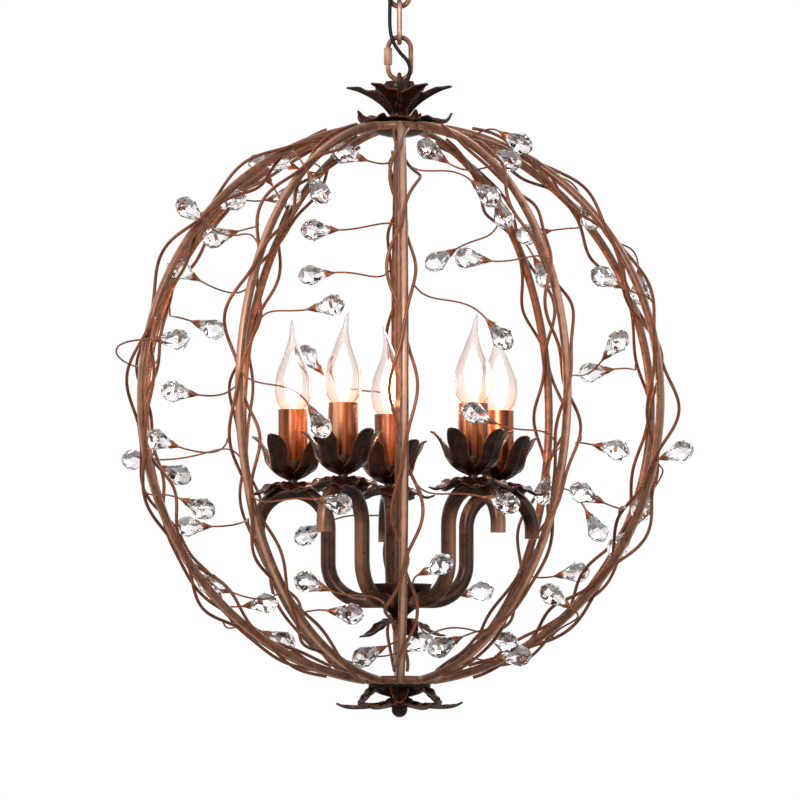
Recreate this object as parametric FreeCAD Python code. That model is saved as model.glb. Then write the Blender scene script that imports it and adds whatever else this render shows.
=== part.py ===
import FreeCAD, Part
import math
import os
from FreeCAD import Vector

# Orb chandelier: a round cage of bent rods, with wire vines and glass drops, round five candle lights.
# Millimetres. The origin is the middle of the ceiling bracket's upper face, and +Z is up.
# Angles are turned from the front, which faces -Y, towards +X.

os.makedirs("parts", exist_ok=True)

UP = Vector(0, 0, 1)
ROD_SIDES = 8
RIB_SIDES = 6
BUD_SIDES = 4
WIRE_SIDES = 3
CORD_SIDES = 6
TURNED_SIDES = 12
WIDE_TURNED_SIDES = 20

# Clearances
running_gap = 0.3        # between two curved pieces that move on each other
slip_gap = 0.25          # round a shank or a cap in its hole
weld_gap = 0.5           # between rods that are brazed together

# Ceiling fitting
canopy_radius = 63.5
canopy_height = 25.0
canopy_wall = 1.5
canopy_flat_radius = 26.0
bracket_end_gap = 6.0    # from the bracket's end to the canopy's wall
bracket_width = 20.0
bracket_thickness = 2.5
bracket_hole_spacing = 88.9
bracket_hole_diameter = 4.6
loop_shank_diameter = 9.6
loop_collar_radius = 12.0
loop_collar_height = 4.0
lock_nut_across_flats = 14.0
lock_nut_height = 4.0

# Chain, threaded connector and eyes
chain_wire = 5.0
chain_link_length = 45.0
chain_link_width = 24.0
connector_wire = 4.8
connector_length = 45.6
connector_width = 26.6
connector_gap = 6.0
connector_nut_length = 16.0
connector_nut_across_flats = 8.0
connector_nut_offset = 2.0
eye_wire = 4.6
eye_length = 27.0
eye_width = 17.6

# Supply cord, beside the chain
cord_diameter = 3.6
cord_hole_radius = 2.3
cord_bend_share = 0.45

# Cage
cage_radius = 256.0
cage_half_height = 265.0
rib_count = 10
rib_turn = 1.0
rib_diameter = 8.0
rib_steps = 18
ring_radius = 30.0
ring_rod_diameter = 8.0
crown_rise = 46.5        # from the middle of the top ring up to the connector's lower bend
crown_seat = 8.0         # from the middle of the top ring up to the foot of the eye's shank

# Stem and hub
stem_diameter = 8.5
hub_radius = 31.0
hub_height = 31.5
hub_centre_drop = 187.0  # middle of the cage down to where the arms enter the hub
hub_rim_rise = 15.5
hub_neck_radius = 7.5
hub_dish_depth = 5.0

# Arms, shaped like walking canes, and the candles on them
arm_count = 5
arm_turn = -30.4
arm_diameter = 12.5
arm_root_radius = 17.0
arm_leg_radius = 69.5
arm_bend_radius = 36.0
arm_arch_radius = 34.5
arm_arch_drop = 117.5
arm_tail_length = 9.0
bobeche_thickness = 2.2
bobeche_washer_radius = 11.0
cup_foot_height = 8.0
cup_foot_radius = 5.0
cup_floor_height = 6.0
cup_wall_height = 7.0
cup_wall = 1.2
sleeve_diameter = 28.0
sleeve_wall = 1.0
sleeve_length = 56.0
socket_diameter = 22.0
socket_length = 52.5
cap_diameter = 11.8
cap_length = 19.0
cap_bottom_radius = 3.0
bulb_width = 35.0
bulb_length = 88.0
bulb_sides = 10
bulb_seat = 0.5          # from the top of the lampholder up to the glass

# Leaves of sheet metal, folded along the middle
leaf_thickness = 1.6
leaf_fold = 0.28         # rise of a leaf's edge over its half width

# Vines and their glass drops
vine_diameter = 3.2
vine_turns = 3.0
vine_end_angle = 74.0
vine_steps = 27
vine_seat = 0.35
vine_bulge = 9.0
vine_bulge_swing = 4.0
tendril_diameter = 1.8
tendril_steps = 4
drawn_cage_radius = 256.0     # the cage on which the places of the drops were measured
drawn_cage_half_height = 265.0
drop_length = 22.0
drop_diameter = 16.5
drop_sides = 6
drop_cap_length = 6.0
drop_cap_diameter = 6.5
drop_reach = -14.0
drop_deep_reach = -34.0
tendril_look_ahead = 58.0
tendril_bow = 24.0       # how far a tendril bows out where it passes its own drop

# ---------------------------------------------------------------- heights
# From the ceiling down to the middle of the cage, each piece hung in the one above.
bracket_length = 2 * (canopy_radius - canopy_wall - bracket_end_gap)
loop_collar_bottom = -canopy_height - loop_collar_height
ceiling_eye_bottom = loop_collar_bottom - eye_length + eye_wire
top_link_top = ceiling_eye_bottom + (eye_wire + chain_wire) / 2 + running_gap
link_pitch = chain_link_length - 2 * chain_wire - running_gap
middle_link_top = top_link_top - link_pitch
low_link_top = middle_link_top - link_pitch
low_link_bottom = low_link_top - chain_link_length + chain_wire
connector_top = low_link_bottom + (chain_wire + connector_wire) / 2 + running_gap
connector_bottom = connector_top - connector_length + connector_wire
crown_eye_top = connector_bottom + (connector_wire + eye_wire) / 2 + running_gap
rib_end_angle = math.acos((ring_radius + ring_rod_diameter / 2 + weld_gap) / cage_radius)
ring_height = cage_half_height * math.sin(rib_end_angle)
cage_centre = connector_bottom - crown_rise - ring_height
crown_base = cage_centre + ring_height
hub_entry = cage_centre - hub_centre_drop
hub_top = hub_entry + hub_rim_rise
arch_centre = cage_centre - arm_arch_drop
arch_radius_outside = arm_arch_radius + arm_diameter / 2
candle_radius = arm_leg_radius + arm_arch_radius
arch_top = arch_centre + arch_radius_outside
cup_bottom = arch_top + bobeche_thickness
cup_neck_top = cup_bottom + cup_foot_height
cup_floor = cup_neck_top + cup_floor_height
sleeve_top = cup_floor + sleeve_length
socket_top = cup_floor + socket_length
foot_height = cage_centre - ring_height


# ---------------------------------------------------------------- shapes
def polar(radius, angle, height):
    """Point at a radius and a height, turned by an angle from the front."""
    turn = math.radians(angle)
    return Vector(radius * math.sin(turn), -radius * math.cos(turn), height)


def flat_face(corners):
    """Face inside straight edges."""
    return Part.Face(Part.makePolygon(corners + [corners[0]]))


def strip(near, far):
    """Faces that join two outlines. A single point at one end makes a fan."""
    faces = []
    count = max(len(near), len(far))
    for i in range(count):
        j = (i + 1) % count
        if len(near) == 1:
            faces.append(flat_face([near[0], far[j], far[i]]))
        elif len(far) == 1:
            faces.append(flat_face([near[i], near[j], far[0]]))
        else:
            across = (near[j] - near[i]).cross(far[i] - near[i])
            if abs(across.dot(far[j] - near[i])) < 1e-7 * across.Length:
                faces.append(flat_face([near[i], near[j], far[j], far[i]]))
            else:
                faces.append(flat_face([near[i], near[j], far[j]]))
                faces.append(flat_face([near[i], far[j], far[i]]))
    return faces


def skin(outlines, ring=False):
    """Solid through a row of outlines, closed at its ends or into a ring."""
    faces = []
    for near, far in zip(outlines, outlines[1:]):
        faces += strip(near, far)
    if ring:
        faces += strip(outlines[-1], outlines[0])
    else:
        if len(outlines[0]) > 1:
            faces.append(flat_face(outlines[0]))
        if len(outlines[-1]) > 1:
            faces.append(flat_face(outlines[-1]))
    shell = Part.Shell(faces)
    shell.sewShape()
    solid = Part.Solid(shell)
    if solid.Volume < 0:
        solid.reverse()
    return solid


def outline(centre, direction, side, diameter, sides):
    """Corners of a regular outline with its flats at a diameter, square to a direction."""
    first = (side - direction * side.dot(direction)).normalize()
    second = direction.cross(first)
    reach = diameter / 2 / math.cos(math.pi / sides)
    corners = []
    for i in range(sides):
        turn = 2 * math.pi * (i + 0.5) / sides
        corners.append(centre + first * (reach * math.cos(turn)) + second * (reach * math.sin(turn)))
    return corners


def directions(points, ring=False):
    """Unit direction of a line of points at each of them."""
    last = len(points) - 1
    found = []
    for i in range(len(points)):
        before = points[i - 1] if i > 0 or ring else points[0]
        after = points[(i + 1) % len(points)] if i < last or ring else points[last]
        found.append((after - before).normalize())
    return found


def rod(points, diameter, side, sides=ROD_SIDES, ring=False):
    """Rod of many flats along a line of points."""
    outlines = []
    for point, direction in zip(points, directions(points, ring)):
        side = side - direction * side.dot(direction)
        outlines.append(outline(point, direction, side, diameter, sides))
    return skin(outlines, ring)


def turned(profile, base=Vector(0, 0, 0), sides=TURNED_SIDES):
    """Many-sided turned piece from a profile of (radius, height), solid where it starts and ends at radius 0."""
    outlines = []
    for radius, height in profile:
        centre = base + UP * height
        if radius == 0:
            outlines.append([centre])
        else:
            width = 2 * radius * math.cos(math.pi / sides)
            outlines.append(outline(centre, UP, Vector(1, 0, 0), width, sides))
    return skin(outlines, ring=profile[0][0] > 0)


def tube(outer, inner, bottom, top, base=Vector(0, 0, 0), sides=TURNED_SIDES):
    """Many-sided tube, or a plain rod where the inner radius is 0."""
    if inner == 0:
        return turned([(0, bottom), (outer, bottom), (outer, top), (0, top)], base, sides)
    return turned([(inner, bottom), (outer, bottom), (outer, top), (inner, top)], base, sides)


def cylinder(radius, bottom, top, base=Vector(0, 0, 0)):
    return Part.makeCylinder(radius, top - bottom, base + Vector(0, 0, bottom), UP)


def hexagon(across_flats, bottom, top, base=Vector(0, 0, 0)):
    corners = outline(base + Vector(0, 0, bottom), UP, Vector(1, 0, 0), across_flats, 6)
    return flat_face(corners).extrude(Vector(0, 0, top - bottom))


def oval_points(length, width, centre, across):
    """Middle line of an upright oval link: two half circles of many flats and two straight legs."""
    arc_steps = 6
    rise = (length - width) / 2
    radius = width / 2 / math.cos(math.pi / (2 * arc_steps))
    points = []
    for half, lift in ((0, rise), (180, -rise)):
        for i in range(arc_steps):
            turn = math.radians(half + 180 * (i + 0.5) / arc_steps)
            points.append(centre + across * (radius * math.cos(turn)) + UP * (lift + radius * math.sin(turn)))
    return points


def oval_link(length, width, wire, top, across):
    """Closed oval link, its upper wire's middle at a height, lying in the plane of one axis and Z."""
    centre = Vector(0, 0, top - (length - wire) / 2)
    points = oval_points(length - wire, width - wire, centre, across)
    return rod(points, wire, across.cross(UP), ring=True)


def leaf(radius, height, angle, base, steps, widths):
    """Folded leaf that grows outwards from a radius and a height, bent by steps of (length, slope)."""
    outward = polar(1, angle, 0)
    sideways = outward.cross(UP)
    point = base + outward * radius + UP * height
    outlines = []
    for (length, slope), width in zip(steps, widths):
        turn = math.radians(slope)
        forward = outward * math.cos(turn) + UP * math.sin(turn)
        normal = UP * math.cos(turn) - outward * math.sin(turn)
        half = width / 2
        edge = normal * (half * leaf_fold)
        outlines.append([
            point + sideways * half + edge,
            point + normal * (leaf_thickness / 2),
            point - sideways * half + edge,
            point - normal * (leaf_thickness / 2),
        ])
        point = point + forward * length
    outlines.append([point])
    return skin(outlines)


def rosette(core, count, turn, radius, height, base, steps, widths):
    """Leaves in a ring, cast in one with a core."""
    leaves = []
    for i in range(count):
        leaves.append(leaf(radius, height, turn + 360 * i / count, base, steps, widths))
    return core.multiFuse(leaves).removeSplitter()


def write(name, solids):
    shape = solids[0] if len(solids) == 1 else Part.makeCompound(solids)
    shape.exportStep("parts/" + name + ".step")
    return shape


# ---------------------------------------------------------------- ceiling fitting
def canopy():
    """Pressed dome, open at the ceiling, with a hole for the loop and one for the cord."""
    outside = [
        (canopy_radius, 0),
        (canopy_radius, -3),
        (canopy_radius - 4, -5),
        (canopy_radius - 10, -15),
        (canopy_radius - 22, -22),
        (canopy_flat_radius, -canopy_height),
    ]
    inside = [(radius - canopy_wall, height + canopy_wall) for radius, height in outside[1:]]
    hole = loop_shank_diameter / 2 + slip_gap
    profile = outside + [(hole, -canopy_height), (hole, -canopy_height + canopy_wall)]
    profile += inside[::-1] + [(canopy_radius - canopy_wall, 0)]
    shell = turned(profile, sides=WIDE_TURNED_SIDES)
    cord_hole = cylinder(cord_hole_radius, -2 * canopy_height, 0, Vector(cord_route[0].x, cord_route[0].y, 0))
    return shell.cut(cord_hole)


def ceiling_bracket():
    """Flat bar that is screwed to the ceiling box and holds the threaded shank."""
    corner = Vector(-bracket_length / 2, -bracket_width / 2, -bracket_thickness)
    bar = Part.makeBox(bracket_length, bracket_width, bracket_thickness, corner)
    for x in (-bracket_hole_spacing / 2, bracket_hole_spacing / 2):
        bar = bar.cut(cylinder(bracket_hole_diameter / 2, -bracket_thickness, 0, Vector(x, 0, 0)))
    return bar.cut(cylinder(loop_shank_diameter / 2 + slip_gap, -bracket_thickness, 0))


def ceiling_loop():
    """Eye with a collar that holds the canopy up and a shank that goes up to the bracket."""
    eye = oval_link(eye_length, eye_width, eye_wire, ceiling_eye_bottom + eye_length - eye_wire, Vector(1, 0, 0))
    shank = tube(loop_shank_diameter / 2, 0, -canopy_height, 0)
    collar = tube(loop_collar_radius, 0, loop_collar_bottom, -canopy_height)
    return eye.fuse(collar).fuse(shank).removeSplitter()


def lock_nut():
    """Nut on the shank, under the bracket."""
    nut = hexagon(lock_nut_across_flats, -bracket_thickness - lock_nut_height, -bracket_thickness)
    return nut.cut(cylinder(loop_shank_diameter / 2 + slip_gap, -canopy_height, 0))


# ---------------------------------------------------------------- cord
# Route of the supply cord beside the chain, from the canopy to the cup of the crown.
# Each place is (x, y) and a height above the connector's lower bend.
cord_places = [
    (-17, 0, connector_bottom * -1 - canopy_height + canopy_wall),
    (-14, -4, 144),
    (-8, -7.5, 121),
    (-7.5, -8, 95),
    (-9.5, -6.5, 68),
    (-9, -7, 42),
    (0, -7.5, 25),
    (8.5, -8, 17),
    (11, -7, 6),
    (5.5, -5, -6),
]
cord_route = [Vector(x, y, connector_bottom + height) for x, y, height in cord_places]


def cord():
    """Round cord: straight runs joined by arcs as large as the runs allow."""
    edges = []
    start = cord_route[0]
    length = 0
    for before, corner, after in zip(cord_route, cord_route[1:], cord_route[2:]):
        arriving = (corner - before).normalize()
        leaving = (after - corner).normalize()
        half_turn = arriving.getAngle(leaving) / 2
        cut_back = cord_bend_share * min((corner - before).Length, (after - corner).Length)
        radius = cut_back / math.tan(half_turn)
        first = corner - arriving * cut_back
        last = corner + leaving * cut_back
        towards = (leaving - arriving).normalize()
        middle = corner + towards * (radius / math.cos(half_turn) - radius)
        edges.append(Part.LineSegment(start, first).toShape())
        edges.append(Part.Arc(first, middle, last).toShape())
        length += (first - start).Length + 2 * half_turn * radius
        print("cord arc radius", round(radius, 1), "mm")
        start = last
    edges.append(Part.LineSegment(start, cord_route[-1]).toShape())
    length += (cord_route[-1] - start).Length
    way = Part.Wire(edges)
    along = (cord_route[1] - cord_route[0]).normalize()
    corners = outline(cord_route[0], along, Vector(0, 1, 0), cord_diameter, CORD_SIDES)
    section = Part.makePolygon(corners + [corners[0]])
    swept = way.makePipeShell([section], True, False)
    section_area = Part.Face(section).Area
    print("cord", round(length, 1), "mm long, volume ratio", round(swept.Volume / (section_area * length), 4))
    return swept


# ---------------------------------------------------------------- connector
def connector():
    """Threaded oval connector: one leg is parted, and its nut bridges the gap."""
    link = oval_link(connector_length, connector_width, connector_wire, connector_top, Vector(1, 0, 0))
    leg = -(connector_width - connector_wire) / 2
    middle = (connector_top + connector_bottom) / 2
    corner = Vector(leg - connector_wire, -connector_wire, middle - connector_gap / 2)
    return link.cut(Part.makeBox(2 * connector_wire, 2 * connector_wire, connector_gap, corner))


def connector_nut():
    """Long hexagon nut on the parted leg."""
    leg = Vector(-(connector_width - connector_wire) / 2, 0, 0)
    middle = (connector_top + connector_bottom) / 2 + connector_nut_offset
    low = middle - connector_nut_length / 2
    high = middle + connector_nut_length / 2
    reach = connector_wire / 2 / math.cos(math.pi / ROD_SIDES) + slip_gap
    return hexagon(connector_nut_across_flats, low, high, leg).cut(cylinder(reach, low, high, leg))


# ---------------------------------------------------------------- cage
def rib_point(angle, slope):
    """Point on a rib's middle line, where slope is the oval's own angle above the middle."""
    turn = math.radians(slope)
    radius = cage_radius * math.cos(turn)
    return polar(radius, angle, cage_centre + cage_half_height * math.sin(turn))


def rib_angle(number):
    return rib_turn + 360 * number / rib_count


def rib(number):
    """Rod bent to half an oval, butted to the outside of both rings."""
    last = math.degrees(rib_end_angle)
    angle = rib_angle(number)
    points = [rib_point(angle, -last + 2 * last * i / rib_steps) for i in range(rib_steps + 1)]
    return rod(points, rib_diameter, polar(1, angle + 90, 0), RIB_SIDES)


def cage_ring(height):
    """Ring of the same rod, with a corner behind each rib."""
    points = []
    for i in range(2 * rib_count):
        points.append(polar(ring_radius, rib_turn + 180 * i / rib_count, height))
    return rod(points, ring_rod_diameter, UP, ring=True)


# ---------------------------------------------------------------- crown
def crown_eye():
    """Eye on a short shank, seen edge on from the front."""
    eye = oval_link(eye_length, eye_width, eye_wire, crown_eye_top, Vector(0, 1, 0))
    eye_bottom = crown_eye_top - eye_length + eye_wire
    shank = tube(stem_diameter / 2, 0, crown_base + crown_seat, eye_bottom + eye_wire / 4)
    return eye.fuse(shank).removeSplitter()


def crown_leaves():
    """Open cup round the eye, with long leaves that spread upwards."""
    rim = crown_rise - 2
    hole = stem_diameter / 2 + slip_gap
    profile = [
        (hole, crown_seat + 0.2),
        (8, crown_seat + 0.2),
        (9, 16),
        (12, 24),
        (13.5, rim),
        (12, rim),
        (10.5, 25),
        (hole, 19),
    ]
    base = Vector(0, 0, crown_base)
    steps = [(12, 58), (14, 40), (14, 30), (13, 14)]
    return rosette(turned(profile, base), 6, 30, 7, 12, base, steps, [10, 17, 16, 10])


def crown_collar():
    """Plate inside the top ring, with a second row of leaves over the ring."""
    edge = ring_radius - ring_rod_diameter / 2 - weld_gap
    profile = [
        (0, -7),
        (12, -8),
        (20, -6),
        (edge, -3),
        (edge, 2),
        (16, 5),
        (9, crown_seat),
        (0, crown_seat),
    ]
    base = Vector(0, 0, crown_base)
    steps = [(15, 3), (14, -2), (9, -12), (8, 38)]
    plate = turned(profile, base, WIDE_TURNED_SIDES)
    collar = rosette(plate, 5, 18, 6, 6, base, steps, [12, 20, 18, 9])
    return collar.cut(tube(stem_diameter / 2, 0, -10, 0, base))


# ---------------------------------------------------------------- stem and hub
def stem():
    """Tube from the crown's plate down into the hub's dish."""
    return tube(stem_diameter / 2, 0, hub_top - hub_dish_depth, crown_base)


def arm(number):
    """Cane of bent tube: out of the hub, up, over the arch and down to a free end."""
    angle = arm_turn + 360 * number / arm_count
    places = [(arm_root_radius, 0)]
    for i in range(5):
        turn = math.radians(90 * i / 4)
        places.append((
            arm_leg_radius - arm_bend_radius + arm_bend_radius * math.sin(turn),
            arm_bend_radius * (1 - math.cos(turn)),
        ))
    arch_rise = hub_centre_drop - arm_arch_drop
    for i in range(9):
        turn = math.radians(180 * i / 8)
        places.append((
            candle_radius - arm_arch_radius * math.cos(turn),
            arch_rise + arm_arch_radius * math.sin(turn),
        ))
    tail = candle_radius + arm_arch_radius
    places.append((tail, arch_rise - arm_tail_length))
    points = [polar(radius, angle, hub_entry + rise) for radius, rise in places]
    return rod(points, arm_diameter, polar(1, angle + 90, 0))


def hub(arms):
    """Turned bowl that the arms are let into."""
    bottom = hub_rim_rise - hub_height
    profile = [
        (0, bottom),
        (hub_neck_radius, bottom),
        (hub_neck_radius + 4, bottom + 5),
        (hub_radius - 9, bottom + 13),
        (hub_radius - 3, bottom + 23),
        (hub_radius, hub_rim_rise),
        (hub_radius - 2, hub_rim_rise),
        (stem_diameter / 2 + 4, hub_rim_rise - hub_dish_depth),
        (0, hub_rim_rise - hub_dish_depth),
    ]
    bowl = turned(profile, Vector(0, 0, hub_entry), WIDE_TURNED_SIDES)
    for each in arms:
        bowl = bowl.cut(each)
    return bowl


def hub_leaves():
    """Button and leaves under the hub."""
    base = Vector(0, 0, hub_top - hub_height)
    profile = [(0, 0), (8, 0), (9.5, -4), (6.5, -8), (4, -13), (0, -14)]
    steps = [(9, -8), (12, -34), (12, -30), (8, -8)]
    return rosette(turned(profile, base), 5, 12, 5, -4, base, steps, [8, 13, 11, 7])


# ---------------------------------------------------------------- candles
def candle_base(number):
    return polar(candle_radius, arm_turn + 360 * number / arm_count, 0)


def bobeche(number):
    """Drip leaf: a washer on the arch with five drooping leaves whose tips curl up."""
    base = candle_base(number) + Vector(0, 0, arch_top)
    washer = tube(bobeche_washer_radius, 0, 0, bobeche_thickness, base)
    steps = [(12, -9), (11, -20), (9, -26), (8, 20)]
    turn = arm_turn + 360 * (number + 0.5) / arm_count
    return rosette(washer, 5, turn, 6, bobeche_thickness / 2, base, steps, [6, 20, 19, 11])


def candle_cup(number):
    """Small cup on a foot, with five upright leaves round the candle."""
    base = candle_base(number) + Vector(0, 0, cup_bottom)
    inner = sleeve_diameter / 2 + slip_gap
    neck = cup_foot_height
    floor = cup_foot_height + cup_floor_height
    profile = [
        (0, 0),
        (cup_foot_radius, 0),
        (cup_foot_radius - 0.8, neck / 2),
        (cup_foot_radius + 1, neck),
        (inner + cup_wall, floor - 1),
        (inner + cup_wall, floor + cup_wall_height),
        (inner, floor + cup_wall_height),
        (inner, floor),
        (0, floor),
    ]
    steps = [(11, 26), (13, 50), (13, 60), (11, 44)]
    turn = arm_turn + 360 * number / arm_count
    return rosette(turned(profile, base), 5, turn, 9, neck + 1.5, base, steps, [9, 19, 19, 12])


def sleeve(number):
    """Candle sleeve of thin tube, standing in the cup."""
    base = candle_base(number)
    outer = sleeve_diameter / 2
    return tube(outer, outer - sleeve_wall, cup_floor, sleeve_top, base)


def lamp_socket(number):
    """Candle lampholder inside the sleeve, bored for the bulb's cap."""
    base = candle_base(number)
    bore = (cap_diameter / 2 + slip_gap) / math.cos(math.pi / TURNED_SIDES)
    bore_bottom = socket_top - cap_length
    profile = [
        (0, cup_floor),
        (socket_diameter / 2, cup_floor),
        (socket_diameter / 2, socket_top),
        (bore, socket_top),
        (bore, bore_bottom),
        (0, bore_bottom),
    ]
    return turned(profile, base)


def bulb_cap(number):
    """Screw cap, with its contact at the bottom."""
    top = socket_top + bulb_seat
    profile = [
        (0, top - cap_length),
        (cap_bottom_radius, top - cap_length),
        (cap_diameter / 2, top - cap_length + 3),
        (cap_diameter / 2, top),
        (0, top),
    ]
    return turned(profile, candle_base(number))


def bulb_glass(number):
    """Flame bulb: widest low down, with a long tip bent to one side."""
    # (share of the length, share of the width, share of the width that the tip leans)
    stations = [
        (0, 0.5, 0),
        (0.13, 0.92, 0),
        (0.28, 1, 0),
        (0.45, 0.86, 0),
        (0.63, 0.5, 0),
        (0.82, 0.2, 0.05),
        (1, 0.05, 0.17),
    ]
    base = candle_base(number) + Vector(0, 0, socket_top + bulb_seat)
    lean = polar(1, arm_turn + 360 * number / arm_count + 90, 0)
    outlines = []
    for rise, width, offset in stations:
        centre = base + UP * (bulb_length * rise) + lean * (bulb_width * offset)
        across = bulb_width * width * math.cos(math.pi / bulb_sides)
        outlines.append(outline(centre, UP, Vector(1, 0, 0), across, bulb_sides))
    return skin(outlines)


# ---------------------------------------------------------------- foot
def foot_leaves():
    """Closed cone under the bottom ring, with short leaves round its rim."""
    base = Vector(0, 0, foot_height)
    under_ring = -ring_rod_diameter / 2
    profile = [
        (0, under_ring),
        (ring_radius, under_ring),
        (ring_radius - 2, under_ring - 4),
        (15, under_ring - 8),
        (9, under_ring - 12),
        (0, under_ring - 12),
    ]
    steps = [(10, -28), (9, -30), (8, 5), (7, 30)]
    return rosette(turned(profile, base), 6, 30, 16, under_ring - 3, base, steps, [10, 15, 12, 8])


def foot_rosette():
    """Flat star of long leaves on top of the ball."""
    base = Vector(0, 0, foot_height - ring_rod_diameter / 2 - 12)
    washer = tube(9, 0, -4, 0, base)
    steps = [(15, -12), (17, -8), (14, 3), (9, 14)]
    return rosette(washer, 6, 0, 5, -2, base, steps, [9, 14, 12, 8])


def finial():
    """Turned ball under the rosette."""
    base = Vector(0, 0, foot_height - ring_rod_diameter / 2 - 16)
    radius = 7.6
    steps = 6
    profile = [(0, 0), (3.5, 0)]
    for i in range(1, steps):
        turn = math.pi * i / steps
        profile.append((radius * math.sin(turn), -radius + radius * math.cos(turn)))
    profile.append((0, -2 * radius))
    return turned(profile, base)


# ---------------------------------------------------------------- vines and glass drops
# Which way each rib's vines bulge most, in degrees from sideways to inwards.
vine_leans = (0, 20, 75, 40, 10, 60, 15, 35, 95, 30)


def vine_point(number, wire, share):
    """Middle of a vine wire, wound round its rib, at a share of the way up."""
    slope = vine_end_angle * (2 * share - 1)
    centre = rib_point(rib_angle(number), slope)
    along = (rib_point(rib_angle(number), slope + 1) - rib_point(rib_angle(number), slope - 1)).normalize()
    sideways = polar(1, rib_angle(number) + 90, 0)
    inward = along.cross(sideways)
    phase = 2 * math.pi * vine_turns * share + math.pi * wire + 0.9 * number
    lobe = math.sin(2.3 * number + 1.9 * wire + 7.0 * share)
    lean = math.radians(vine_leans[number])
    swell = (vine_bulge + vine_bulge_swing * lobe) * math.cos(math.radians(slope)) ** 0.5
    near = (rib_diameter / math.cos(math.pi / RIB_SIDES) + vine_diameter / math.cos(math.pi / WIRE_SIDES)) / 2
    near += vine_seat
    reach = near + swell * math.cos(phase - lean) ** 2
    return centre + sideways * (reach * math.cos(phase)) + inward * (reach * math.sin(phase))


def vine(number, wire):
    points = [vine_point(number, wire, i / vine_steps) for i in range(vine_steps + 1)]
    return rod(points, vine_diameter, polar(1, rib_angle(number) + 90, 0), WIRE_SIDES)


# Glass drops: x and height from the cage's middle, front (1) or back (-1), the way that the capped end
# points in the front view, in degrees from +X, and how far the drop stands out of the cage.
drop_places = [
    (-134, 231, -1, -56, 22),
    (-116, 231, 1, -19, drop_reach),
    (-159, 193, 1, 202, drop_reach),
    (-171, 151, 1, 15, drop_reach),
    (-207, 125, 1, -29, drop_reach),
    (-183, 81, -1, 160, drop_reach),
    (-210, 54, 1, 180, drop_reach),
    (-208, 4, 1, -8, drop_reach),
    (-227, -38, 1, -18, -19),
    (-214, -63, -1, 158, drop_reach),
    (-185, -104, 1, 156, drop_reach),
    (-201, -114, -1, 0, drop_reach),
    (-178, -172, 1, -21, drop_reach),
    (-131, -187, -1, 188, drop_reach),
    (-109, 206, -1, 190, drop_reach),
    (-75, 190, 1, 120, drop_reach),
    (-50, 232, 1, -18, -44),
    (-77, 150, 1, 0, drop_reach),
    (-85, 137, -1, 6, drop_reach),
    (29, 231, 1, -35, drop_reach),
    (38, 152, -1, 32, drop_reach),
    (82, 186, 1, 140, drop_reach),
    (64, 122, 1, -7, drop_reach),
    (-64, 77, 1, 190, drop_reach),
    (-89, 58, -1, -50, drop_reach),
    (-73, -32, 1, 120, drop_reach),
    (-57, -104, 1, 170, drop_reach),
    (-90, -117, -1, 30, drop_reach),
    (97, -103, 1, 165, drop_reach),
    (70, -23, 1, -25, drop_reach),
    (93, 49, 1, 130, drop_reach),
    (36, -160, 1, 205, drop_reach),
    (78, -174, -1, 190, drop_reach),
    (-84, -175, 1, -20, drop_reach),
    (-47, -203, 1, 172, drop_reach),
    (102, 228, 1, 150, drop_reach),
    (181, 179, 1, 115, drop_reach),
    (192, 112, 1, -28, drop_reach),
    (229, 108, -1, 95, drop_reach),
    (202, 49, 1, 230, drop_reach),
    (188, 39, -1, 8, drop_reach),
    (200, -50, 1, 168, drop_reach),
    (262, -50, 1, 200, 22),
    (171, -92, 1, -25, drop_reach),
    (190, -115, -1, 120, drop_reach),
    (169, -158, -1, 190, drop_reach),
    (144, -185, 1, -35, drop_reach),
    (98, -227, 1, 160, drop_reach),
    (40, -232, 1, 25, drop_deep_reach),
    (-31, -241, 1, 25, drop_reach),
    (19, -225, -1, 205, drop_deep_reach),
    (-112, -225, 1, 155, drop_deep_reach),
    (110, -241, 1, 190, 16),
    (100, 189, -1, 110, drop_deep_reach),
    (141, 134, -1, 120, drop_reach),
    (127, 172, -1, 10, drop_reach),
    (112, 241, 1, 150, 30),
    (-197, 176, 1, -40, 30),
    (-254, -49, -1, 0, 18),
    (141, -76, -1, 80, drop_deep_reach),
    (231, -99, 1, 60, drop_reach),
    (209, -134, -1, 50, drop_reach),
]


def drop_frame(place):
    """Middle of a glass drop and the direction of its capped end."""
    x, height, side, pointing, reach = place
    x = x * cage_radius / drawn_cage_radius
    height = height * cage_half_height / drawn_cage_half_height
    level = min(abs(height) / cage_half_height, 0.99)
    radius = cage_radius * math.sqrt(1 - level ** 2) + reach
    depth = math.sqrt(max(radius ** 2 - x ** 2, 0))
    turn = math.radians(pointing)
    middle = Vector(x, -side * depth, cage_centre + height)
    return middle, Vector(math.cos(turn), 0, math.sin(turn))


def glass_drop(place):
    """Faceted pear shape whose narrow end sits in its cap."""
    middle, axis = drop_frame(place)
    start = middle + axis * (drop_length / 2)
    outlines = []
    for share, diameter in ((0, drop_cap_diameter), (0.5, drop_diameter), (0.82, 0.7 * drop_diameter)):
        centre = start - axis * (drop_length * share)
        outlines.append(outline(centre, axis * -1, Vector(0, 1, 0), diameter, drop_sides))
    outlines.append([start - axis * drop_length])
    return skin(outlines)


def drop_cap(place):
    """Metal bud on the narrow end of a drop, with a blunt end for its wire."""
    middle, axis = drop_frame(place)
    wide_end = middle + axis * (drop_length / 2)
    outlines = []
    for rise, diameter in ((0, drop_cap_diameter), (drop_cap_length, tendril_diameter)):
        centre = wide_end + axis * rise
        outlines.append(outline(centre, axis, Vector(0, 1, 0), diameter, BUD_SIDES))
    return skin(outlines)


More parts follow.
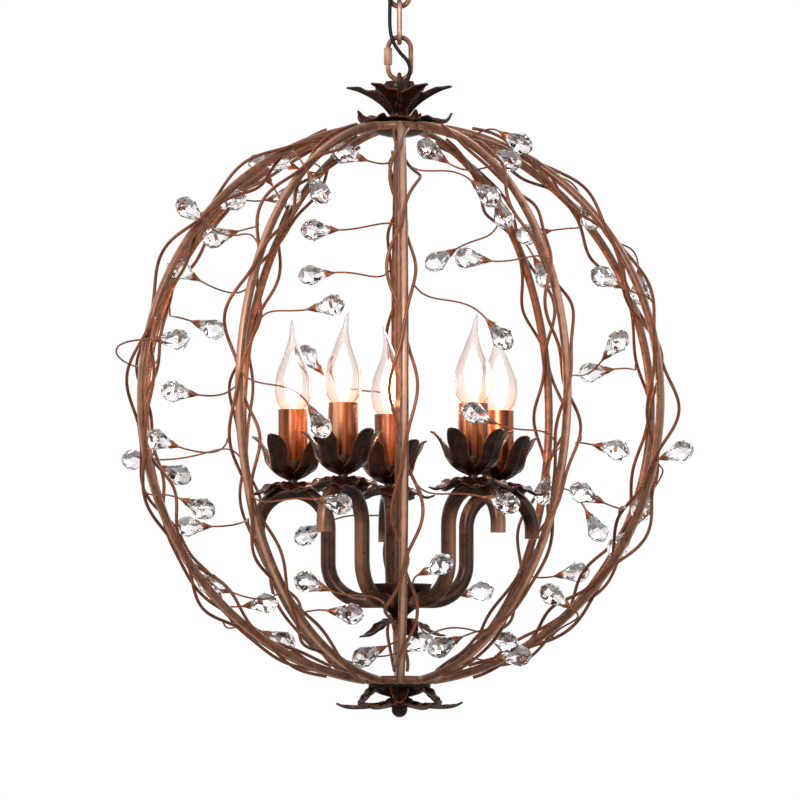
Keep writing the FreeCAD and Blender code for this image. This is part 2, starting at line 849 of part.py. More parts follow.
def tendril(place):
    """Thin wire in one bow, from a vine to a drop's cap."""
    middle, axis = drop_frame(place)
    end = middle + axis * (drop_length / 2 + drop_cap_length)
    ahead = middle + axis * tendril_look_ahead
    level = max(-0.95, min(0.95, (ahead.z - cage_centre) / cage_half_height))
    radius = cage_radius * math.sqrt(1 - level ** 2)
    across = max(-1, min(1, ahead.x / radius))
    angle = math.degrees(math.asin(across))
    if place[2] < 0:
        angle = 180 - angle
    number = round((angle - rib_turn) / (360 / rib_count)) % rib_count
    share = (math.degrees(math.asin(level)) / vine_end_angle + 1) / 2
    share = max(0.02, min(0.98, share))
    start = min((vine_point(number, wire, share) for wire in (0, 1)), key=lambda point: (point - end).Length)
    away = 0.45 * (end - start).Length
    bow = Vector(end.x, end.y, 0).normalize() * (tendril_bow if (start - end).dot(axis) < 0 else 2)
    first = start + Vector(0, 0, -0.5 * away if axis.z > 0 else 0.5 * away) + (end - start) * 0.2 + bow
    second = end + axis * away + bow
    points = []
    for i in range(tendril_steps + 1):
        t = i / tendril_steps
        points.append(
            start * (1 - t) ** 3 + first * (3 * t * (1 - t) ** 2) + second * (3 * t ** 2 * (1 - t)) + end * t ** 3
        )
    return rod(points, tendril_diameter, Vector(0.31, 0.9, 0.3), WIRE_SIDES)


# ---------------------------------------------------------------- write every piece
write("canopy", [canopy()])
write("ceiling_bracket", [ceiling_bracket()])
write("ceiling_loop", [ceiling_loop()])
write("lock_nut", [lock_nut()])
write("chain_link_top", [oval_link(chain_link_length, chain_link_width, chain_wire, top_link_top, Vector(0, 1, 0))])
write("chain_link_middle", [
    oval_link(chain_link_length, chain_link_width, chain_wire, middle_link_top, Vector(1, 0, 0))
])
write("chain_link_low", [oval_link(chain_link_length, chain_link_width, chain_wire, low_link_top, Vector(0, 1, 0))])
write("connector", [connector()])
write("connector_nut", [connector_nut()])
write("supply_cord", [cord()])
write("crown_eye", [crown_eye()])
write("crown_leaves", [crown_leaves()])
write("crown_collar", [crown_collar()])
write("top_ring", [cage_ring(crown_base)])
write("bottom_ring", [cage_ring(foot_height)])
for rib_number in range(rib_count):
    write("rib_%02d" % (rib_number + 1), [rib(rib_number)])
write("stem", [stem()])
all_arms = [arm(number) for number in range(arm_count)]
for arm_number in range(arm_count):
    label = "_%d" % (arm_number + 1)
    write("arm" + label, [all_arms[arm_number]])
    write("candle_sleeve" + label, [sleeve(arm_number)])
    write("bulb_cap" + label, [bulb_cap(arm_number)])
    write("bulb_glass" + label, [bulb_glass(arm_number)])
write("hub", [hub(all_arms)])
write("hub_leaves", [hub_leaves()])
write("bobeches", [bobeche(number) for number in range(arm_count)])
write("candle_cups", [candle_cup(number) for number in range(arm_count)])
write("lamp_sockets", [lamp_socket(number) for number in range(arm_count)])
write("foot_leaves", [foot_leaves()])
write("foot_rosette", [foot_rosette()])
write("finial", [finial()])
write("vine_wires", [vine(number, wire) for number in range(rib_count) for wire in (0, 1)])
write("glass_drops", [glass_drop(place) for place in drop_places])
write("drop_caps", [drop_cap(place) for place in drop_places])
write("tendrils", [tendril(place) for place in drop_places])
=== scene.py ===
from math import asin, cos, degrees, pi, radians, sin, sqrt
import bmesh
import bpy
from mathutils import Matrix, Vector


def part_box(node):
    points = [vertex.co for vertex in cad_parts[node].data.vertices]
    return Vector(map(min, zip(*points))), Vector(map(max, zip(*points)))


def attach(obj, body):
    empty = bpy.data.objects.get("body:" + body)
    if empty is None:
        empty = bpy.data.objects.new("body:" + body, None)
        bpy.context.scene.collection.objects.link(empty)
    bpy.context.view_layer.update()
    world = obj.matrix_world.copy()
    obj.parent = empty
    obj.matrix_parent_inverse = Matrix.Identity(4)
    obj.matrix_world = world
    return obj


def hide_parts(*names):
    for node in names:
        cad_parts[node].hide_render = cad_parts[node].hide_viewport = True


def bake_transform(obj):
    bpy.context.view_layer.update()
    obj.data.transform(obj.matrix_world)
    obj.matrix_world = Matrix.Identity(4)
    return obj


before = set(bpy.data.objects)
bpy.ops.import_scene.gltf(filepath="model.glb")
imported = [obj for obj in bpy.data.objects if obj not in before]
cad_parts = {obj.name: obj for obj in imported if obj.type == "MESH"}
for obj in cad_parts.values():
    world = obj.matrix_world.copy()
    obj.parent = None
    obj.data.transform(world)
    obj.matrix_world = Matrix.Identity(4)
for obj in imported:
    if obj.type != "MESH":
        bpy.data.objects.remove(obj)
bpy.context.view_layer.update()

# Orb chandelier. Shapes are made in millimetres, and 1000 or 0.001 turns them to metres or back.
# A texture's scale is 1000 / the size of its spots. Angles turn from the front, -Y, towards +X.

# --- canopy
# The cover at the ceiling: a dome pressed from 1.5 mm steel and sprayed dark bronze.
# It has one hole for the loop's shank and one, with a plastic grommet, for the cord.
UP = Vector((0, 0, 1))


def colour(hex_value):
    """Linear colour from an sRGB hex value."""
    channels = [int(hex_value[i:i + 2], 16) / 255 for i in (1, 3, 5)]
    return [c / 12.92 if c <= 0.04045 else ((c + 0.055) / 1.055) ** 2.4 for c in channels] + [1.0]


def add(tree, kind, inputs=(), **settings):
    """Adds a shader node. Each input takes a value or another node's output."""
    made = tree.nodes.new("ShaderNode" + kind)
    for key, value in settings.items():
        setattr(made, key, value)
    for socket, value in dict(inputs).items():
        if isinstance(value, bpy.types.NodeSocket):
            tree.links.new(value, made.inputs[socket])
        else:
            made.inputs[socket].default_value = value
    return made


def ramp(tree, factor, stops):
    """Colour ramp from (place, hex colour) stops."""
    made = add(tree, "ValToRGB", {"Fac": factor})
    made.color_ramp.elements[0].position = stops[0][0]
    made.color_ramp.elements[0].color = colour(stops[0][1])
    made.color_ramp.elements[1].position = stops[-1][0]
    made.color_ramp.elements[1].color = colour(stops[-1][1])
    for place, hex_value in stops[1:-1]:
        made.color_ramp.elements.new(place).color = colour(hex_value)
    return made.outputs["Color"]


def new_material(name):
    """A material, its node tree and its main shader."""
    made = bpy.data.materials.new(name)
    made.use_nodes = True
    return made, made.node_tree, made.node_tree.nodes["Principled BSDF"]


def painted_bronze(name, dark_tone_and_shade, body, rub_and_highlight, patch_mm, metallic, roughness, rub_low=0.52, rub_high=0.6,
                   painted_highlight=0.0, painted_flank_shade=0.0, centre=None):
    """Sprayed bronze paint, patchy, rubbed through to a copper tone on its edges. Outer faces get a painted
    highlight in that copper tone, and the flanks get painted shade. Outer faces look away from a centre, or
    else from the upright axis."""
    made, tree, shader = new_material(name)
    place = add(tree, "TexCoord").outputs["Object"]
    geometry = add(tree, "NewGeometry")
    patches = add(tree, "TexNoise", {"Vector": place, "Scale": 1000 / patch_mm, "Detail": 6.0,
                                     "Roughness": 0.62})
    grain = add(tree, "TexNoise", {"Vector": place, "Scale": 1000 / 0.9, "Detail": 3.0, "Roughness": 0.7})
    paint = ramp(tree, patches.outputs["Fac"], [(0.34, dark_tone_and_shade), (0.66, body)])
    edge = add(tree, "MapRange", {"Value": geometry.outputs["Pointiness"],
                                  "From Min": rub_low, "From Max": rub_high})
    worn = add(tree, "Math", {0: edge.outputs["Result"], 1: patches.outputs["Fac"]}, operation="MULTIPLY")
    if centre is None:
        flat_place = add(tree, "VectorMath", {0: place, 1: (1, 1, 0)}, operation="MULTIPLY")
    else:
        flat_place = add(tree, "VectorMath", {0: place, 1: (0, 0, centre / 1000)}, operation="SUBTRACT")
    outward = add(tree, "VectorMath", {0: flat_place.outputs["Vector"]}, operation="NORMALIZE")
    facing = add(tree, "VectorMath", {0: geometry.outputs["Normal"], 1: outward.outputs["Vector"]},
                 operation="DOT_PRODUCT")
    # Painted highlight: faces that look outwards are mixed towards the rub colour, broken up by the grain.
    painted_highlight_mask = add(tree, "MapRange", {"Value": facing.outputs["Value"], "From Min": 0.72, "From Max": 1.0,
                                   "To Max": painted_highlight})
    grained_painted_highlight = add(tree, "Math", {0: painted_highlight_mask.outputs["Result"], 1: grain.outputs["Fac"]}, operation="MULTIPLY")
    wear_and_highlight = add(tree, "Math", {0: worn.outputs["Value"], 1: grained_painted_highlight.outputs["Value"]},
                 operation="ADD", use_clamp=True)
    # Painted shade: flanks, which look neither out nor in, are mixed towards the shadow colour.
    level = add(tree, "Math", {0: facing.outputs["Value"]}, operation="ABSOLUTE")
    painted_flank_shade_mask = add(tree, "MapRange", {"Value": level.outputs["Value"], "From Min": 0.3, "From Max": 0.86,
                                   "To Min": painted_flank_shade, "To Max": 0.0})
    paint = add(tree, "Mix", {0: painted_flank_shade_mask.outputs["Result"], 6: paint, 7: colour(dark_tone_and_shade)},
                data_type="RGBA").outputs[2]
    mixed = add(tree, "Mix", {0: wear_and_highlight.outputs["Value"], 6: paint, 7: colour(rub_and_highlight)}, data_type="RGBA")
    bump = add(tree, "Bump", {"Height": grain.outputs["Fac"], "Strength": 0.3, "Distance": 0.0002})
    rough = add(tree, "MapRange", {"Value": patches.outputs["Fac"],
                                   "To Min": roughness - 0.1, "To Max": roughness + 0.12})
    tree.links.new(mixed.outputs[2], shader.inputs["Base Color"])
    tree.links.new(rough.outputs["Result"], shader.inputs["Roughness"])
    tree.links.new(bump.outputs["Normal"], shader.inputs["Normal"])
    shader.inputs["Metallic"].default_value = metallic
    shader.inputs["Specular IOR Level"].default_value = 0.25
    return made


def only(piece):
    """Selects one piece alone and makes it the active one."""
    bpy.ops.object.select_all(action="DESELECT")
    piece.select_set(True)
    bpy.context.view_layer.objects.active = piece


def modify(piece, kind, **settings):
    """Adds a modifier and applies it."""
    only(piece)
    modifier = piece.modifiers.new(kind.title(), kind)
    for key, value in settings.items():
        setattr(modifier, key, value)
    bpy.ops.object.modifier_apply(modifier=modifier.name)


def new_piece(mesh):
    """Puts a mesh or a curve in the scene and selects it."""
    piece = bpy.data.objects.new("piece", mesh)
    bpy.context.scene.collection.objects.link(piece)
    only(piece)
    return piece


def spun(profile, base=Vector((0, 0, 0)), steps=72, soften=1):
    """Turned or pressed piece: a line of (radius, height) spun about the upright axis through base."""
    mesh = bpy.data.meshes.new("spun")
    points = [(radius, 0, height) for radius, height in profile]
    mesh.from_pydata(points, [(i, i + 1) for i in range(len(points) - 1)], [])
    piece = new_piece(mesh)
    modify(piece, "SCREW", angle=2 * pi, steps=steps, render_steps=steps, use_merge_vertices=True)
    bpy.ops.object.mode_set(mode="EDIT")
    bpy.ops.mesh.select_all(action="SELECT")
    bpy.ops.mesh.remove_doubles(threshold=0.001)
    bpy.ops.mesh.normals_make_consistent(inside=False)
    bpy.ops.object.mode_set(mode="OBJECT")
    if soften:
        edge_round = 0.35 * soften
        modify(piece, "BEVEL", width=edge_round, segments=2, limit_method="ANGLE",
               angle_limit=radians(28))
    bpy.ops.object.shade_smooth_by_angle(angle=radians(42))
    piece.data.transform(Matrix.Translation(base))
    return piece


def join(pieces):
    """One object from several."""
    only(pieces[0])
    for piece in pieces:
        piece.select_set(True)
    bpy.ops.object.join()
    return pieces[0]


def settle(piece, name, material, slot, body, *nodes):
    """Turns a finished piece to metres, paints it and fixes it to its body, in place of its CAD nodes."""
    piece.name = name
    piece.data.name = name
    piece.data.transform(Matrix.Scale(0.001, 4))
    piece.data.materials.clear()
    piece.data.materials.append(material)
    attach(piece, body)
    if nodes:
        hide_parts(*nodes)
    return piece


def span(node):
    """Lowest and highest point of a CAD node, in millimetres."""
    low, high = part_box(node)
    return 1000 * low[2], 1000 * high[2]


canopy_wall = 1.5
canopy_bottom = span("canopy")[0]
canopy_floor = canopy_bottom + canopy_wall
shank_hole = 5.2
cord_hole = 2.3
cord_exit = Vector((-17, 0, canopy_floor))
# The spray is almost black, with a dull copper tone where an edge is rubbed.
dark_bronze = painted_bronze("dark_bronze_spray", "#1a0e09", "#3a2015", "#8a5238", 14, 0.2, 0.4)
canopy_outside = [(shank_hole, canopy_bottom), (26, canopy_bottom), (34, -24.2), (41.5, -22), (48, -19),
                  (53.5, -15), (57.5, -10), (59.5, -5.2), (63.5, -3.2), (63.5, 0)]
canopy_inside = [(62, 0), (62, -2), (58.2, -4.2), (56, -9.5), (52.3, -14), (47.2, -17.6), (41, -20.5),
                 (33.8, -22.7), (26, canopy_floor), (shank_hole, canopy_floor), (shank_hole, canopy_bottom)]
canopy = spun(canopy_outside + canopy_inside, steps=96)
bpy.ops.mesh.primitive_cylinder_add(radius=cord_hole, depth=12, location=cord_exit)
drill = bpy.context.active_object
modify(canopy, "BOOLEAN", object=drill, operation="DIFFERENCE", solver="EXACT")
bpy.data.objects.remove(drill)
settle(canopy, "canopy_dome", dark_bronze, "dark_bronze", "ceiling_fitting", "canopy")

# --- ceiling bracket and lock nut
# A punched steel bar and a hexagon nut, both zinc plated, hidden above the canopy.
# Their CAD shapes stay, and get a bright zinc finish with its faint spangle.
zinc, tree, shader = new_material("zinc_plate")
place = add(tree, "TexCoord").outputs["Object"]
spangle = add(tree, "TexVoronoi", {"Vector": place, "Scale": 1000 / 4.0})
zinc_tone = ramp(tree, spangle.outputs["Distance"], [(0.0, "#a9adb0"), (1.0, "#c9cccd")])
tree.links.new(zinc_tone, shader.inputs["Base Color"])
shader.inputs["Metallic"].default_value = 1.0
shader.inputs["Roughness"].default_value = 0.36


def repaint(node, material):
    """Gives a CAD node that stays a better material."""
    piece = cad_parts[node]
    for place_on_piece in piece.material_slots:
        place_on_piece.material = material


repaint("ceiling_bracket", zinc)
repaint("lock_nut", zinc)

# --- ceiling loop
# A cast eye with a round collar that holds the canopy up, and a threaded shank.
# The thread is cut as a row of fine ridges.


def round_wire(lines, diameter, closed=False, fineness=3):
    """Round wire or rod along one or more lines of points."""
    curve = bpy.data.curves.new("wire", "CURVE")
    curve.dimensions = "3D"
    curve.bevel_depth = diameter / 2
    curve.bevel_resolution = fineness
    curve.use_fill_caps = True
    for line in lines:
        spline = curve.splines.new("POLY")
        spline.points.add(len(line) - 1)
        for point, where in zip(spline.points, line):
            point.co = (where[0], where[1], where[2], 1)
        spline.use_cyclic_u = closed
    piece = new_piece(curve)
    bpy.ops.object.convert(target="MESH")
    piece = bpy.context.active_object
    bpy.ops.object.shade_smooth_by_angle(angle=radians(50))
    return piece


def oval(length, width, top, across, steps=20):
    """Middle line of an upright oval link whose upper wire's middle is at a height."""
    points = []
    rise = (length - width) / 2
    centre = UP * (top - length / 2)
    for half, lift in ((0, rise), (180, -rise)):
        for i in range(steps + 1):
            turn = radians(half + 180 * i / steps)
            points.append(centre + across * (width / 2 * cos(turn)) + UP * (lift + width / 2 * sin(turn)))
    return points


# The eyes here and at the crown are 27 by 17.6 mm outside, and are drawn by the wire's middle.
eye_wire = 4.6
eye_length = 27 - eye_wire
eye_width = 17.6 - eye_wire
eye_bottom, shank_top = span("ceiling_loop")
eye_top = eye_bottom + eye_wire / 2 + eye_length
loop_eye = round_wire([oval(eye_length, eye_width, eye_top, Vector((1, 0, 0)))], eye_wire, True)
collar_radius = 12
collar_bottom = canopy_bottom - 4
loop_collar = spun([(0, collar_bottom), (collar_radius - 1, collar_bottom),
                    (collar_radius, collar_bottom + 1), (collar_radius, canopy_bottom), (0, canopy_bottom)])
thread_pitch = 1.25
thread_root = 4.35
thread_crest = 4.8
thread = [(0, canopy_bottom)]
ridges = int((shank_top - canopy_bottom) / thread_pitch)
for i in range(ridges):
    thread.append((thread_root, canopy_bottom + thread_pitch * i))
    thread.append((thread_crest, canopy_bottom + thread_pitch * (i + 0.5)))
thread += [(thread_root, shank_top), (0, shank_top)]
threaded_shank = spun(thread, soften=0)
settle(join([loop_eye, loop_collar, threaded_shank]), "ceiling_loop_cast", dark_bronze, "dark_bronze",
       "ceiling_fitting", "ceiling_loop")

# --- chain links
# Three oval links of 5 mm steel wire, 45 by 24 mm, each turned a quarter from the next.
# They are bent round, butt welded halfway up one leg, sprayed, and brushed to a pale copper.
chain_wire = 5.0
link_length = 45 - chain_wire
link_width = 24 - chain_wire
weld_bead = [(0, -1.4), (1.6, -1.2), (2.75, -0.5), (2.75, 0.5), (1.6, 1.2), (0, 1.4)]
# The brushed wire is the palest metal here, with a painted pink highlight along its outer side and painted
# shade on its flanks.
chain_copper = painted_bronze("copper_wire_with_painted_light", "#4a2212", "#b87452", "#eabba2", 10, 0.25, 0.34,
                              painted_highlight=1.2, painted_flank_shade=0.8)
for name, body, across in (
    ("chain_link_top", "link_top", Vector((0, 1, 0))),
    ("chain_link_middle", "link_middle", Vector((1, 0, 0))),
    ("chain_link_low", "link_low", Vector((0, 1, 0))),
):
    top = span(name)[1] - chain_wire / 2
    link = round_wire([oval(link_length, link_width, top, across)], chain_wire, True, 4)
    weld = spun(weld_bead, across * (link_width / 2) + UP * (top - link_length / 2))
    settle(join([link, weld]), name + "_wire", chain_copper, "dark_bronze", body, name)

# --- threaded connector
# An oval link of 4.8 mm wire, 26.6 mm wide, whose left leg is parted and threaded. The long
# hexagon nut, which keeps its CAD shape, closes the gap. Both are brushed like the chain, with its painted
# highlight and painted flank shade.
connector_wire = 4.8
half_gap = 3
connector_low, connector_high = span("connector")
connector_bottom = connector_low + connector_wire / 2
connector_top = connector_high - connector_wire / 2
connector_leg = (26.6 - connector_wire) / 2
gap_middle = (connector_top + connector_bottom) / 2
line = oval(connector_top - connector_bottom, 2 * connector_leg, connector_top, Vector((1, 0, 0)))
half = len(line) // 2
line = [Vector((-connector_leg, 0, gap_middle - half_gap))] + line[half:] + line[:half]
line.append(Vector((-connector_leg, 0, gap_middle + half_gap)))
settle(round_wire([line], connector_wire, False, 4), "connector_wire", chain_copper, "dark_bronze",
       "connector", "connector")
repaint("connector_nut", chain_copper)

# --- supply cord
# Round black flex, 3.6 mm, that hangs beside the chain in small bends and goes into the crown.
# It is made in five stretches, one over each joint, which meet end to end in one smooth line.
cord_diameter = 3.6
# (x, y, height above the connector's lowest wire)
cord_bends = [(-14, -4, 144), (-8, -7.5, 121), (-7.5, -8, 100), (-9.5, -6.5, 68), (-9, -7, 40), (0, -7.5, 25),
              (8.5, -8, 17), (11, -7, 6), (5.2, -4.8, -8.2)]
cord_route = [cord_exit] + [Vector((x, y, connector_bottom + rise)) for x, y, rise in cord_bends]
# Soft plastic looks nearly black, with a broad dull shine and faint scuffs.
flex, tree, shader = new_material("pvc_flex_black")
place = add(tree, "TexCoord").outputs["Object"]
scuff = add(tree, "TexNoise", {"Vector": place, "Scale": 1000 / 3.0, "Detail": 4.0})
flex_tone = ramp(tree, scuff.outputs["Fac"], [(0.3, "#070606"), (0.7, "#141110")])
tree.links.new(flex_tone, shader.inputs["Base Color"])
shader.inputs["Specular IOR Level"].default_value = 0.2
flex_bump = add(tree, "Bump", {"Height": scuff.outputs["Fac"], "Strength": 0.2, "Distance": 0.0001})
tree.links.new(flex_bump.outputs["Normal"], shader.inputs["Normal"])
shader.inputs["Roughness"].default_value = 0.45
# (first point, last point, upper body, lower body, heights between which it bends)
cord_stretches = [
    (0, 1, "ceiling_fitting", "link_top", -42.0, -58.5),
    (2, 3, "link_top", "link_middle", -74.0, -98.0),
    (4, 4, "link_middle", "link_low", -111.0, -131.0),
    (5, 6, "link_low", "connector", -146.0, -165.0),
    (7, 9, "connector", "orb", -181.0, -198.0),
]
for number, (first, last, upper, lower, bend_top, bend_bottom) in enumerate(cord_stretches, 1):
    controls = cord_route[first:last + 1]
    if first > 0:
        controls = [(cord_route[first - 1] + cord_route[first]) / 2] + controls
    if last < len(cord_route) - 1:
        controls = controls + [(cord_route[last] + cord_route[last + 1]) / 2]
    curve = bpy.data.curves.new("cord", "CURVE")
    curve.dimensions = "3D"
    curve.resolution_u = 16
    spline = curve.splines.new("NURBS")
    spline.points.add(len(controls) - 1)
    for point, where in zip(spline.points, controls):
        point.co = (where.x / 1000, where.y / 1000, where.z / 1000, 1)
    spline.order_u = 3
    spline.use_endpoint_u = True
    stretch = new_piece(curve)
    route_mesh = bpy.data.meshes.new_from_object(stretch)
    path = [vertex.co.copy() for vertex in route_mesh.vertices]
    curve.bevel_depth = cord_diameter / 2 / 1000
    curve.bevel_resolution = 4
    curve.use_fill_caps = first == 0 or last == len(cord_route) - 1
    bpy.ops.object.convert(target="MESH")
    stretch = bpy.context.active_object
    bpy.ops.object.shade_smooth()
    stretch.name = "supply_cord_stretch_%d" % number
    stretch.data.materials.clear()
    stretch.data.materials.append(flex)
    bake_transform(stretch)
    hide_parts("supply_cord")
grommet = spun([(2.0, 0.6), (2.0, -0.9), (3.4, -0.9), (3.4, -0.1), (2.35, 0.0), (2.35, 0.6), (2.0, 0.6)],
               Vector((cord_exit.x, 0, canopy_bottom)), steps=32, soften=0)
settle(grommet, "cord_grommet", flex, "cord", "ceiling_fitting")

# --- crown eye
# A closed eye forged on a short shank, which stands on the collar's plate inside the cup.
# The connector hangs the whole cage from it. It is sprayed dark like the canopy.
crown_base = sum(span("top_ring")) / 2
foot_height = sum(span("bottom_ring")) / 2
cage_centre = (crown_base + foot_height) / 2
# The rods have a painted pale copper highlight down their outer side, between flanks darkened by painted
# shade.
cage_bronze = painted_bronze("antique_bronze_with_painted_light", "#2a1209", "#8c4826", "#dba68a", 9, 0.25, 0.34,
                             painted_highlight=1.4, painted_flank_shade=0.8, centre=cage_centre)
crown_eye_top = span("crown_eye")[1] - eye_wire / 2
stem_radius = 4.25
crown_ring = round_wire([oval(eye_length, eye_width, crown_eye_top, Vector((0, 1, 0)))], eye_wire, True)
crown_shank = spun([(0, 8), (stem_radius, 8), (stem_radius, 25), (3, 28.5), (0, 29)], UP * crown_base)
settle(join([crown_ring, crown_shank]), "crown_eye_forged", dark_bronze, "dark_bronze", "orb", "crown_eye")

# --- crown cup and its leaves
# A small turned cup round the eye, with six long leaves cut from sheet, folded along the
# middle, notched at the edge and curled at the tip. They are brazed on and sprayed dark.
# Sheet leaves look dark and a little glossy, with a copper line along their cut edges.
leaf_bronze = painted_bronze("sheet_leaf_bronze", "#160b07", "#3a1d11", "#9c5a34", 7, 0.2, 0.28, 0.53, 0.62)


def polar(radius, angle, height):
    """Point at a radius from the upright axis, an angle and a height."""
    turn = radians(angle)
    return Vector((radius * sin(turn), -radius * cos(turn), height))


def eased(stations, place):
    """Value at a place on a smooth line through (place, value) stations."""
    if place <= stations[0][0]:
        return stations[0][1]
    if place >= stations[-1][0]:
        return stations[-1][1]
    k = max(i for i in range(len(stations) - 1) if stations[i][0] <= place)
    (x0, v0), (x1, v1) = stations[k], stations[k + 1]
    before = stations[max(k - 1, 0)]
    after = stations[min(k + 2, len(stations) - 1)]
    slope0 = (v1 - before[1]) / (x1 - before[0])
    slope1 = (after[1] - v0) / (after[0] - x0)
    t = (place - x0) / (x1 - x0)
    wide = x1 - x0
    return (v0 * (2 * t ** 3 - 3 * t ** 2 + 1) + v1 * (3 * t ** 2 - 2 * t ** 3)
            + wide * slope0 * (t ** 3 - 2 * t ** 2 + t) + wide * slope1 * (t ** 3 - t ** 2))


def leaf(shape, base, radius, height, angle, steps, widths, points=3, notch=0.3, fold=0.28,
         flutter=0.12, tip=0.5, blunt=6):
    """Adds a leaf that grows outwards by steps of (length, slope), with a vein, a fold and a notched edge."""
    outward = polar(1, angle, 0)
    sideways = outward.cross(UP)
    slopes = []
    breadths = []
    passed = 0
    for (length, slope), width in zip(steps, widths):
        slopes.append((passed + length / 2, slope))
        breadths.append((passed, width))
        passed += length
    breadths.append((passed, tip * widths[-1]))
    rows = 26
    vein_depth = 0.5
    point = base + outward * radius + UP * height
    lines = []
    for i in range(rows + 1):
        share = i / rows
        slope = radians(eased(slopes, passed * share))
        forward = outward * cos(slope) + UP * sin(slope)
        normal = UP * cos(slope) - outward * sin(slope)
        half = eased(breadths, passed * share) / 2 * sqrt(max(1 - share ** blunt, 0))
        half *= 1 - notch * abs(cos(pi * points * share)) ** 5 * (1 - share ** 3)
        line = []
        for across in (-1, -0.78, -0.5, -0.2, 0, 0.2, 0.5, 0.78, 1):
            wave = flutter * across ** 2 * sin(2 * pi * points * share + across)
            rise = half * (fold * abs(across) + wave)
            rise -= vein_depth if across == 0 else 0
            line.append(shape.verts.new(point + sideways * (half * across) + normal * rise))
        lines.append(line)
        point = point + forward * (passed / rows)
    for near, far in zip(lines, lines[1:]):
        for j in range(len(near) - 1):
            shape.faces.new((near[j], near[j + 1], far[j + 1], far[j]))


def shaped(shape):
    """Piece from a finished bmesh, with its faces turned outwards."""
    bmesh.ops.recalc_face_normals(shape, faces=shape.faces)
    mesh = bpy.data.meshes.new("shape")
    shape.to_mesh(mesh)
    shape.free()
    return new_piece(mesh)


def leaf_ring(count, turn, radius, height, base, steps, widths, thickness=1.1, **look):
    """Leaves in a ring, given their sheet's thickness. Each nods and swings by a few degrees of its own,
    as bent by hand."""
    shape = bmesh.new()
    for i in range(count):
        nod = 4 * sin(2.7 * i + turn)
        swing = 2.5 * sin(1.9 * i + 0.7 * turn)
        hand_bent = [(length, slope + nod * k / len(steps)) for k, (length, slope) in enumerate(steps)]
        leaf(shape, base, radius, height, turn + swing + 360 * i / count, hand_bent, widths, **look)
    bmesh.ops.remove_doubles(shape, verts=shape.verts, dist=0.02)
    piece = shaped(shape)
    modify(piece, "SOLIDIFY", thickness=thickness, offset=0)
    bpy.ops.object.shade_smooth_by_angle(angle=radians(40))
    return piece


crown = UP * crown_base
crown_cup = spun([(4.5, 8.2), (8, 8.2), (8.6, 13), (9.4, 18), (11.5, 24), (13, 34), (13.5, 44.5), (12, 44.5),
                  (11.6, 34), (10.3, 25), (4.5, 19), (4.5, 8.2)], crown)
crown_spray = leaf_ring(6, 30, 7, 11, crown, [(12, 52), (15, 36), (14, 26), (12, 14)], [15, 24, 22, 12],
                        thickness=1.4, notch=0.26, fold=0.5)
# A ring of small leaves stands inside the six and hides the cup's mouth.
crown_bud = leaf_ring(6, 0, 13, 20, crown, [(9, 74), (8, 86), (8, 108)], [14, 16, 14], notch=0.1, tip=0.7)
settle(join([crown_cup, crown_spray, crown_bud]), "crown_cup_with_leaves", leaf_bronze, "leaf_bronze",
       "orb", "crown_leaves")

# --- crown collar
# A pressed plate inside the top ring, with the eye above it and the stem below. Five more
# leaves lie over the ring and curl up outside it, all sprayed dark.
collar_plate = spun([(0, -7), (12, -8), (20, -6), (25.5, -3), (25.5, 2), (16, 5), (9, 8), (0, 8)], crown)
collar_leaves = leaf_ring(5, 18, 6, 6.5, crown, [(15, 1), (13, -4), (8, -4), (13, 62)], [14, 25, 22, 13],
                          thickness=1.3, fold=0.34)
settle(join([collar_plate, collar_leaves]), "crown_collar_with_leaves", leaf_bronze, "leaf_bronze",
       "orb", "crown_collar")

# --- cage
# Ten 8 mm steel rods, each bent to half an oval and brazed to a ring at the top and the foot.
# They are sprayed bronze and brushed by hand; the pale streak down their outer side is a painted highlight.
cage_radius = 256
cage_half_height = 265
rib_count = 10
rib_turn = 1.0
rib_diameter = 8
ring_radius = 30
rib_last = degrees(asin((crown_base - cage_centre) / cage_half_height))


def rib_point(angle, slope):
    """Middle of the rib at an angle, as many degrees above the cage's middle as slope says."""
    turn = radians(slope)
    return polar(cage_radius * cos(turn), angle, cage_centre + cage_half_height * sin(turn))


def rib_angle(number):
    return rib_turn + 360 * number / rib_count


for number in range(rib_count):
    line = [rib_point(rib_angle(number), -rib_last + 2 * rib_last * i / 90) for i in range(91)]
    node = "rib_%02d" % (number + 1)
    settle(round_wire([line], rib_diameter, False, 3), node + "_rod", cage_bronze, "cage_bronze", "orb", node)
for node, height in (("top_ring", crown_base), ("bottom_ring", foot_height)):
    line = [polar(ring_radius, 360 * i / 72, height) for i in range(72)]
    settle(round_wire([line], rib_diameter, True, 3), node + "_rod", cage_bronze, "cage_bronze", "orb", node)

# --- stem
# A straight steel tube, 8.5 mm, from the crown's plate down to the hub, which carries the
# lights. It is sprayed and brushed like the cage, and that paint's painted flank shade darkens most of its
# sides.
stem_low, stem_high = span("stem")
stem_line = [(0, stem_low), (stem_radius, stem_low), (stem_radius, stem_high), (0, stem_high)]
settle(spun(stem_line, steps=40), "stem_tube", cage_bronze, "cage_bronze", "orb", "stem")

